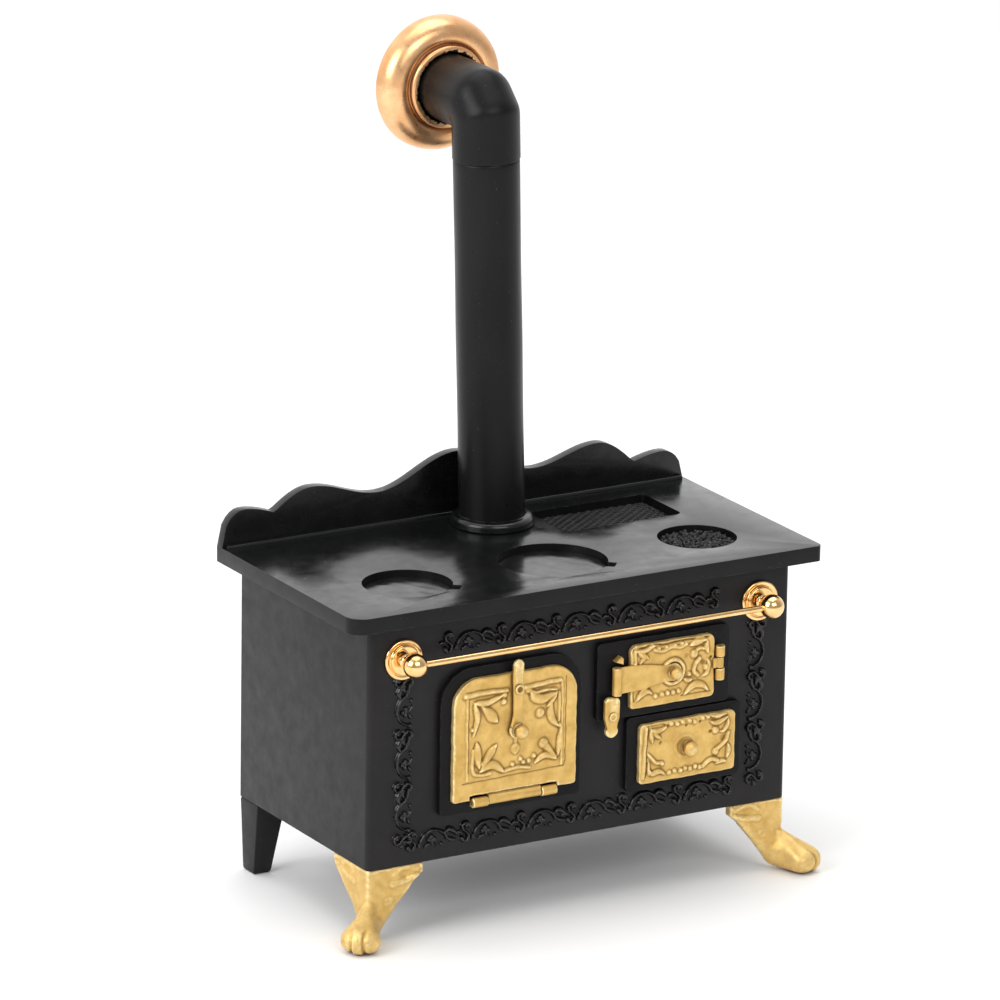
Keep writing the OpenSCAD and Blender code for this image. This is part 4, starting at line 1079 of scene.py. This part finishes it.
def firebox_ornament(r):
    r.stem([(10.2, 45.6), (9.95, 47.6), (10.3, 49.0), (12.3, 48.7), (14.1, 49.6)], 0.42, 0.30)
    r.leaf([(10.7, 48.6), (11.8, 47.9), (12.9, 47.2)], 0.60, 0.30)
    r.leaf([(11.0, 46.2), (11.6, 47.0), (12.8, 47.9)], 0.42, 0.24)
    r.stem([(14.3, 48.7), (16.0, 48.2), (17.9, 48.7), (19.8, 48.4), (21.2, 48.8)], 0.38, 0.26)
    for x, z in ((15.2, 48.9), (16.9, 48.8), (18.7, 48.9), (20.2, 49.1)):
        r.bead(x, z, 0.42, 0.30)
    r.leaf([(21.9, 48.4), (23.2, 48.9), (24.6, 49.2), (25.6, 49.0)], 0.80, 0.40, 0.5)
    r.leaf([(25.7, 48.9), (25.5, 47.6), (25.9, 46.3)], 0.55, 0.34)
    r.bead(22.8, 46.7, 0.85, 0.44)
    r.stem([(22.8, 46.9), (23.9, 47.6), (25.0, 47.4)], 0.36, 0.30)
    r.stem([(24.0, 45.6), (23.1, 44.6), (22.9, 43.4), (23.7, 42.5)], 0.46, 0.36)
    r.bead(25.5, 43.7, 0.62, 0.40)
    r.leaf([(25.7, 45.3), (26.1, 44.2), (25.7, 42.6), (24.6, 42.0)], 0.52, 0.32)
    r.leaf([(20.7, 38.9), (21.8, 39.9), (23.2, 40.7), (24.9, 40.2), (26.0, 39.0)], 0.70, 0.38)
    r.leaf([(20.6, 42.2), (21.6, 41.7), (22.6, 41.9)], 0.50, 0.32)
    r.bead(21.9, 42.9, 0.48, 0.34)
    for x, z in ((14.6, 39.7), (16.0, 39.8), (17.2, 39.9), (18.4, 39.8), (19.6, 39.9)):
        r.bead(x, z, 0.50, 0.34)
    r.leaf([(10.3, 39.2), (11.3, 40.2), (12.8, 40.8), (13.9, 40.2)], 0.62, 0.38)
    r.leaf([(11.0, 40.3), (12.2, 41.6), (13.6, 42.2)], 0.55, 0.34)
    r.bead(12.4, 41.0, 0.5, 0.38)
    r.ring(fire_mid[0], fire_mid[1], 2.25, 0.45, 0.42)
    r.soften(1)
    r.groove([(9.9, 39.2), (9.8, 41.0)], 0.22, 0.14, False)
    r.groove([(9.8, 46.8), (9.75, 49.2), (12.3, 49.35), (14.0, 50.0), (16.0, 49.4), (21.0, 49.6),
              (25.9, 49.5)], 0.26, 0.24, False)
    r.groove([(20.2, 38.9), (23.0, 39.0), (26.4, 38.9)], 0.2, 0.12, False)
    r.dimple(24.8, 44.8, 0.7, 0.22)
    r.dimple(21.2, 46.6, 0.6, 0.12)
    r.dimple(26.6, 45.4, 0.4, 0.2)
    r.height = np.minimum(r.height, 0.42)
    r.height += 0.04 * np.sin(r.x * 0.7 + 2) * np.sin(r.z * 0.8)


mesh = cast_plate(fire_low, fire_high, plate_back, plate_front, (0.9, 1.5), firebox_ornament, step=0.11)
side_hinge_low, side_hinge_high = box_mm("firebox_hinge_brackets")
side_hinge = (28.5, hinge_y)
middle_low, middle_high = 43.2, 45.2
lathe(rounded_rod(rod_radius, middle_high - middle_low, 0.12), (*side_hinge, middle_low), (0, 0, 1), 28, mesh)
leaf_plate = rectangle(fire_high[0] - 0.5, side_hinge[0], middle_low + 0.05, middle_high - 0.05)
slab(leaf_plate, hinge_y + 0.35, hinge_y - 0.45, 0.15, mesh)
add_piece("firebox_door_cast", mesh, GILT, "firebox_door", body="firebox_door")

mesh = bmesh.new()
for start, stop in ((side_hinge_low[2], middle_low - knuckle_gap),
                    (middle_high + knuckle_gap, side_hinge_high[2])):
    lathe(rounded_rod(hinge_radius, stop - start, 0.22), (*side_hinge, start), (0, 0, 1), 36, mesh)
    foot = rectangle(side_hinge[0] - 0.35, side_hinge[0] + 1.15, start + 0.1, stop - 0.1)
    slab(foot, surround_front, hinge_y, 0.2, mesh)
add_piece("firebox_knuckles", mesh, GILT, "firebox_hinge_brackets")

# Strap: from the boss under the knob to an upright tube
strap_bottom, strap_top = strap_low[2], strap_high[2]
boss = 1.75
edge = fire_low[0]
outline = [(tube_x, strap_top - 0.05), (tube_x, strap_bottom + 0.1), (edge + 2.4, strap_bottom + 0.2)]
outline += [(edge + 4.8, strap_bottom + 0.65), (edge + 6.6, strap_bottom + 0.95)]
outline += arc(fire_mid, boss, 255, 465, 22)
outline += [(edge + 6.8, strap_top - 1.0), (edge + 4.8, strap_top - 0.55), (edge + 2.4, strap_top - 0.2)]
mesh = slab(outline, plate_front + 0.02, strap_low[1] + 0.88, 0.2)
profile = rounded_rod(tube_radius, strap_top - strap_bottom, 0.16)
lathe(profile, (tube_x, strap_low[1] + tube_radius, strap_bottom), (0, 0, 1), 36, mesh)
add_piece("strap_cast", mesh, GILT, "firebox_strap", body="firebox_door")
cast_knob("firebox_door_knob", "firebox_knob", "firebox_door", 0.3, 0.66)

low, high = box_mm("strap_keeper")
outline = [(low[0] + 0.1, low[2] + 0.75), (high[0] - 0.6, low[2] + 0.1), (high[0] - 0.5, high[2] - 0.6),
           (high[0] - 1.0, high[2] - 0.1)]
add_piece("keeper_lug", slab(outline, high[1], low[1], 0.2), GILT, "strap_keeper")

# Turn catch: a broad paddle with a rounded lower lobe
low, high = box_mm("turn_catch")
catch_x, catch_z = (low[0] + high[0]) / 2, 37.3
outline = arc((catch_x - 0.05, low[2] + 1.3), 1.3, 150, 390, 22)
outline += [(catch_x + 1.2, low[2] + 2.7), (catch_x + 1.55, catch_z - 0.4), (catch_x + 1.6, high[2] - 1.4)]
outline += arc((catch_x + 0.5, high[2] - 1.1), 1.1, 10, 88, 5)
outline += arc((catch_x - 0.6, high[2] - 1.0), 1.0, 95, 170, 5)
outline += [(catch_x - 1.6, catch_z - 0.3), (catch_x - 1.25, low[2] + 2.7)]
add_piece("catch_paddle", slab(outline, high[1], low[1], 0.26), GILT, "turn_catch", body="turn_catch")
low, high = box_mm("turn_catch_pin")
reach = high[1] - low[1]
profile = [(0, 0), (0.85, 0), (0.85, 0.95), (0.4, 1.0), (0.4, reach - 0.42), (0.78, reach - 0.36)]
profile += [(0.8, reach - 0.14), (0.62, reach - 0.02), (0.46, reach - 0.12), (0, reach - 0.12)]
mesh = lathe(profile, (catch_x, high[1], catch_z), (0, -1, 0), 36)
add_piece("catch_rivet", mesh, GILT, "turn_catch_pin")

# ---- Ash drawer ----

ash_low, ash_high = box_mm("ash_drawer_front")


def ash_ornament(r):
    r.stem([(12.2, 24.0), (12.5, 27.0), (12.6, 29.8), (12.9, 33.4)], 0.42, 0.26)
    r.leaf([(13.7, 33.3), (14.9, 32.7), (16.3, 32.9), (17.2, 33.4)], 0.60, 0.38, 0.35)
    r.leaf([(13.7, 33.2), (13.9, 31.9), (14.1, 30.6)], 0.52, 0.34)
    r.leaf([(14.3, 32.4), (15.2, 31.7), (15.9, 31.1)], 0.46, 0.34)
    r.stem([(13.1, 28.6), (14.0, 27.7), (15.0, 26.6), (16.2, 26.3)], 0.36, 0.30)
    r.bead(16.3, 26.2, 0.52, 0.38)
    r.leaf([(13.3, 25.6), (14.1, 24.6), (15.8, 24.7), (17.0, 24.0)], 0.58, 0.38)
    r.leaf([(13.5, 24.3), (13.3, 25.6), (13.5, 27.0)], 0.42, 0.30)
    for x, z in ((18.2, 33.7), (19.5, 33.5), (20.7, 33.7), (22.2, 33.6), (23.3, 33.3), (25.0, 33.7),
                 (26.2, 33.9)):
        r.bead(x, z, 0.50, 0.32)
    r.leaf([(26.8, 33.9), (28.2, 33.7), (29.4, 34.0), (30.4, 33.9)], 0.50, 0.38)
    r.leaf([(26.6, 32.9), (27.9, 32.4), (29.6, 32.9), (30.6, 33.3)], 0.56, 0.36)
    r.bead(27.8, 31.0, 0.75, 0.44)
    r.leaf([(30.6, 33.0), (30.5, 31.8), (29.7, 30.7), (28.7, 30.6)], 0.46, 0.34)
    r.stem([(30.7, 30.0), (30.3, 28.7), (29.3, 27.9), (28.2, 27.2)], 0.42, 0.36)
    r.bead(28.0, 26.8, 0.72, 0.42)
    r.leaf([(30.6, 28.0), (30.9, 26.6), (30.3, 25.2)], 0.50, 0.36)
    r.stem([(25.3, 24.3), (26.2, 25.1), (27.3, 25.4), (28.3, 25.0)], 0.46, 0.38)
    r.leaf([(28.0, 24.4), (29.2, 24.8), (30.4, 24.5)], 0.46, 0.34)
    for x, z in ((17.9, 24.2), (19.1, 24.4), (20.4, 24.3), (21.4, 24.5), (22.5, 24.3), (23.6, 24.5),
                 (24.6, 24.2)):
        r.bead(x, z, 0.50, 0.34)
    r.ring(21.4, 28.95, 2.0, 0.4, 0.08)
    r.soften(1)
    r.groove([(13.25, 33.8), (13.05, 30.8), (12.85, 28.6), (13.05, 26.4), (12.8, 24.1)], 0.22, 0.17, False)
    r.groove([(13.3, 33.9), (16.4, 33.9), (17.4, 33.4)], 0.2, 0.12, False)
    for x, z, size in ((17.5, 33.3, 0.4), (21.5, 32.9, 0.4), (24.5, 33.1, 0.35), (16.0, 30.3, 0.5),
                       (29.6, 29.3, 0.8), (26.7, 30.9, 0.45)):
        r.dimple(x, z, size, 0.16)
    r.height = np.minimum(r.height, 0.42)
    r.height += 0.04 * np.sin(r.x * 0.6) * np.sin(r.z * 0.9 + 1)


mesh = cast_plate(ash_low[::2], ash_high[::2], ash_high[1], ash_high[1] - door_thickness, (0.8, 1.0),
                  ash_ornament, step=0.11)
add_piece("ash_front_cast", mesh, GILT, "ash_drawer_front", body="ash_drawer")
cast_knob("ash_drawer_knob", "ash_knob", "ash_drawer")

# ---- Front feet ----


def wing(knee):
    """Leg bracket flush with the front of the casting, as a closed mesh with the corner at the origin."""
    top = body_bottom
    outline = [(0.2, top), (knee, top), (knee - 0.05, top - 2.1), (knee - 2.0, top - 3.7), (6.4, 6.1),
               (3.2, 2.0), (1.8, 0.6), (0.2, 0.6)]
    return slab(outline, 2.0, 0.2, 0.3)


def hull_of(mesh, balls):
    """Adds the convex skin round balls, each (point, radius)."""
    skin = bmesh.new()
    for point, radius in balls:
        bmesh.ops.create_icosphere(skin, subdivisions=3, radius=radius, matrix=Matrix.Translation(point))
    hull = bmesh.ops.convex_hull(skin, input=skin.verts)
    inner = [g for g in hull["geom_interior"] if isinstance(g, bmesh.types.BMVert)]
    bmesh.ops.delete(skin, geom=inner, context="VERTS")
    append(mesh, skin)


def append(mesh, part):
    """Adds a part to a mesh and frees it."""
    held = bpy.data.meshes.new("held")
    part.to_mesh(held)
    mesh.from_mesh(held)
    part.free()
    bpy.data.meshes.remove(held)


FORWARD, ACROSS = Vector((-1, -1, 0)).normalized(), Vector((1, -1, 0)).normalized()


def paw_ball(forward, height, radius, aside=0.0):
    """A ball for hull_of, by its distance out from the corner, its height and its distance to the side."""
    return FORWARD * forward + ACROSS * aside + Vector((0, 0, height)), radius


def paw_leg(knees):
    """The left front leg, with the casting's corner at the origin, x along the front and y along the side."""
    mesh = wing(knees[0])
    side = wing(knees[1])
    for v in side.verts:
        v.co.x, v.co.y = v.co.y, v.co.x
    append(mesh, side)
    ankle, heel = paw_ball(1.8, 4.1, 2.45), paw_ball(0.9, 2.35, 2.3)
    hull_of(mesh, [paw_ball(-1.8, 7.6, 1.0), ankle, heel])
    webs = [(Vector(place), radius) for place, radius in (
        ((3.4, 1.15, 3.9), 0.95), ((1.15, 3.4, 3.9), 0.95), ((2.4, 1.2, 2.1), 1.0), ((1.2, 2.4, 2.1), 1.0))]
    hull_of(mesh, [ankle, heel] + webs)
    toes = [paw_ball(4.85, 2.6, 2.6)] + [paw_ball(4.0, 2.4, 2.25, aside) for aside in (-1.7, 1.7)]
    hull_of(mesh, [ankle, heel] + toes)
    return mesh


def join_solids(mesh, voxel):
    """One skin round overlapping solids."""
    data = bpy.data.meshes.new("joined")
    bmesh.ops.recalc_face_normals(mesh, faces=mesh.faces)
    mesh.to_mesh(data)
    mesh.free()
    piece = put("joined", data)
    remesh = piece.modifiers.new("remesh", "REMESH")
    remesh.mode = "VOXEL"
    remesh.voxel_size = voxel
    soften = piece.modifiers.new("soften", "SMOOTH")
    soften.factor, soften.iterations = 0.5, 5
    done = bpy.data.meshes.new_from_object(piece.evaluated_get(bpy.context.evaluated_depsgraph_get()))
    skin = bmesh.new()
    skin.from_mesh(done)
    bpy.data.objects.remove(piece)
    bpy.data.meshes.remove(done)
    bpy.data.meshes.remove(data)
    return skin


def leg_ornament(relief):
    """Ridge, hollow oval and beads on a bracket's face: x runs from the corner outwards, z is the height."""
    top = body_bottom
    relief.stem([(5.2, 11.0), (6.8, 11.1), (8.3, 11.5), (9.8, 12.0)], 0.85, 0.30, (0.9, 0.6))
    relief.stem([(5.3, 12.8), (6.4, 13.5), (8.2, 13.6), (9.9, 13.1)], 0.5, 0.14)
    for x, drop in ((10.7, 0.8), (11.5, 0.7), (12.2, 0.9), (11.1, 1.7), (11.9, 1.8)):
        relief.bead(x, top - drop, 0.5, 0.24)
    relief.stem([(0.8, top - 0.6), (2.6, top - 0.4), (4.6, top - 0.5)], 0.3, 0.12)
    relief.leaf([(5.0, 8.6), (4.3, 7.9), (3.7, 7.0)], 0.9, 0.13)
    relief.dimple(7.6, 12.75, 1.4, 0.24)
    relief.height += 0.03 * np.sin(2.1 * relief.x + 1.2 * relief.z) * np.sin(1.7 * relief.z)


knees = (11.9, 12.9)
VOXEL, MELT_ROUNDS = 0.17, 70
leg_skin = join_solids(paw_leg(knees), VOXEL)
leg_skin.verts.ensure_lookup_table()
rest = np.array([v.co for v in leg_skin.verts])
ends = np.array([[v.index for v in e.verts] for e in leg_skin.edges])
# The lower leg is melted into one soft form, all but its sole
melted = blur(rest, ends[:, 0], ends[:, 1], MELT_ROUNDS)
heights = rest[:, 2:]
rest += (melted - rest) * np.clip((9.5 - heights) / 3, 0, 1) * np.clip(heights / 0.8, 0, 1)
for v, p in zip(leg_skin.verts, rest):
    v.co = p
leg_skin.normal_update()
normals = np.array([v.normal for v in leg_skin.verts])
shaped = rest.copy()
# the ornament stands half as high on the bracket's side face as on its front face
for face, other, share in ((1, 0, 1.0), (0, 1, 0.5)):
    relief = Relief(rest[:, other] * knees[0] / knees[face], rest[:, 2])
    leg_ornament(relief)
    facing = np.clip(-normals[:, face] * 1.6 - 0.5, 0, 1) * np.clip((rest[:, 2] - 3.0) / 2, 0, 1)
    shaped[:, face] -= relief.height * facing * share
# grooves between the toes
forward, aside = rest @ np.array(FORWARD), rest @ np.array(ACROSS)
groove = 0.42 * np.exp(-((np.abs(aside) - 1.3) / 0.34) ** 2) * np.clip((forward - 3.0) / 1.5, 0, 1)
groove *= np.clip((5.2 - rest[:, 2]) / 1.2, 0, 1)
shaped -= normals * groove[:, None]
low, high = box_mm("front_foot_left")
shaped[:, 2] = np.clip(shaped[:, 2], 0, body_bottom - 0.01)
corner = np.array([body_low[0], body_front, 0])
CREST_SHARE, CREST_LIFT = 0.45, 0.03
for side, turn in (("left", 1), ("right", -1)):
    placed = shaped + corner
    placed[:, 0] = np.maximum(placed[:, 0], low[0])
    placed[:, 1] = np.maximum(placed[:, 1], low[1])
    placed[:, 0] *= turn
    ripple = 0.05 * np.sin(1.9 * placed[:, 2] + 0.8 * placed[:, 0]) * np.sin(1.3 * placed[:, 0] + turn)
    leg = leg_skin.copy()
    leg.verts.ensure_lookup_table()
    for v, p, r in zip(leg.verts, placed, ripple):
        v.co = p
        if 0.4 < p[2] < body_bottom - 0.6:
            v.co.y += r
    if turn < 0:
        bmesh.ops.reverse_faces(leg, faces=leg.faces)
    # faces hidden under the casting take the darker frame black
    for face in leg.faces:
        middle = face.calc_center_median()
        hidden = middle.y > body_front + 1.6 and middle.x * turn > body_low[0] + 1.6
        face.material_index = 1 if hidden else 0
    piece = add_piece("paw_foot_" + side, leg, (GILT, FRAME_SHADE), "front_foot_" + side)
    # The crest values paint highlights and shade in the gilt; here they are scaled down and lifted, adding a
    # faint painted highlight over the whole foot
    stored = piece.data.attributes["crest"].data
    crests = np.empty(len(stored))
    stored.foreach_get("value", crests)
    stored.foreach_set("value", crests * CREST_SHARE + CREST_LIFT)
leg_skin.free()

# ---- Floor, light and camera ----

white, n, shader = new_material("studio_floor", specular=0.1)
shade = n.new("ShaderNodeTexNoise", Scale=4.0)
n.link(n.ramp(shade.outputs["Fac"], [(0.3, 0.86), (0.7, 0.88)]), shader.inputs["Base Color"])
shader.inputs["Roughness"].default_value = 0.75
data = bpy.data.meshes.new("studio_floor")
mesh = mesh_of([(x, y, 0) for x, y in rectangle(-6, 6, -6, 6)], [(0, 1, 2, 3)])
mesh.to_mesh(data)
mesh.free()
data.materials.append(white)
put("studio_floor", data)

world = bpy.data.worlds.new("studio")
bpy.context.scene.world = world
world.use_nodes = True
n = Nodes(world.node_tree)
place = n.new("ShaderNodeTexCoord")
split = n.new("ShaderNodeSeparateXYZ")
n.link(place.outputs["Generated"], split.inputs[0])
sky = n.span(split.outputs["Z"], 0.0, 1.0, 0.9, 1.0)
behind = n.span(split.outputs["Y"], -0.5, 0.9, 0.45, 1.5)
n.link(n.math("MULTIPLY", sky, behind), world.node_tree.nodes["Background"].inputs["Strength"])
world.node_tree.nodes["Background"].inputs["Color"].default_value = (1, 1, 1, 1)


def soft_light(name, place, aim, size, watts):
    lamp = bpy.data.lights.new(name, "AREA")
    lamp.shape = "RECTANGLE"
    lamp.size, lamp.size_y = size
    lamp.energy = watts
    piece = put(name, lamp)
    piece.location = place
    piece.rotation_euler = (Vector(aim) - Vector(place)).to_track_quat("-Z", "Y").to_euler()


soft_light("key_left", (-0.85, -0.15, 0.55), (0, 0, 0.05), (0.6, 0.6), 5.0)
soft_light("fill_front", (-0.1, -1.0, 0.75), (0, 0, 0.05), (0.8, 0.5), 4.2)
soft_light("top", (0.1, 0.05, 1.1), (0, 0, 0), (0.9, 0.9), 5.0)

AZIMUTH, ELEVATION, ROLL = math.radians(30.614), math.radians(16.949), math.radians(0.9046)
target = Vector((-3.501, -0.144, 72.815)) * MM
DISTANCE, FOCAL_LENGTH = 1.5, 291.38
level = math.cos(ELEVATION)
toward = Vector((-math.sin(AZIMUTH) * level, -math.cos(AZIMUTH) * level, math.sin(ELEVATION)))
right = (-toward).cross(Vector((0, 0, 1))).normalized()
up = right.cross(-toward)
rolled_right = math.cos(ROLL) * right + math.sin(ROLL) * up
rolled_up = -math.sin(ROLL) * right + math.cos(ROLL) * up
lens = bpy.data.cameras.new("camera")
lens.lens, lens.sensor_width = FOCAL_LENGTH, 36
lens.clip_start, lens.clip_end = 0.05, 30
camera = put("camera", lens)
turned = Matrix((rolled_right, rolled_up, toward)).transposed().to_4x4()
camera.matrix_world = Matrix.Translation(target + toward * DISTANCE) @ turned
bpy.context.scene.camera = camera
bpy.context.scene.view_settings.view_transform = "Standard"
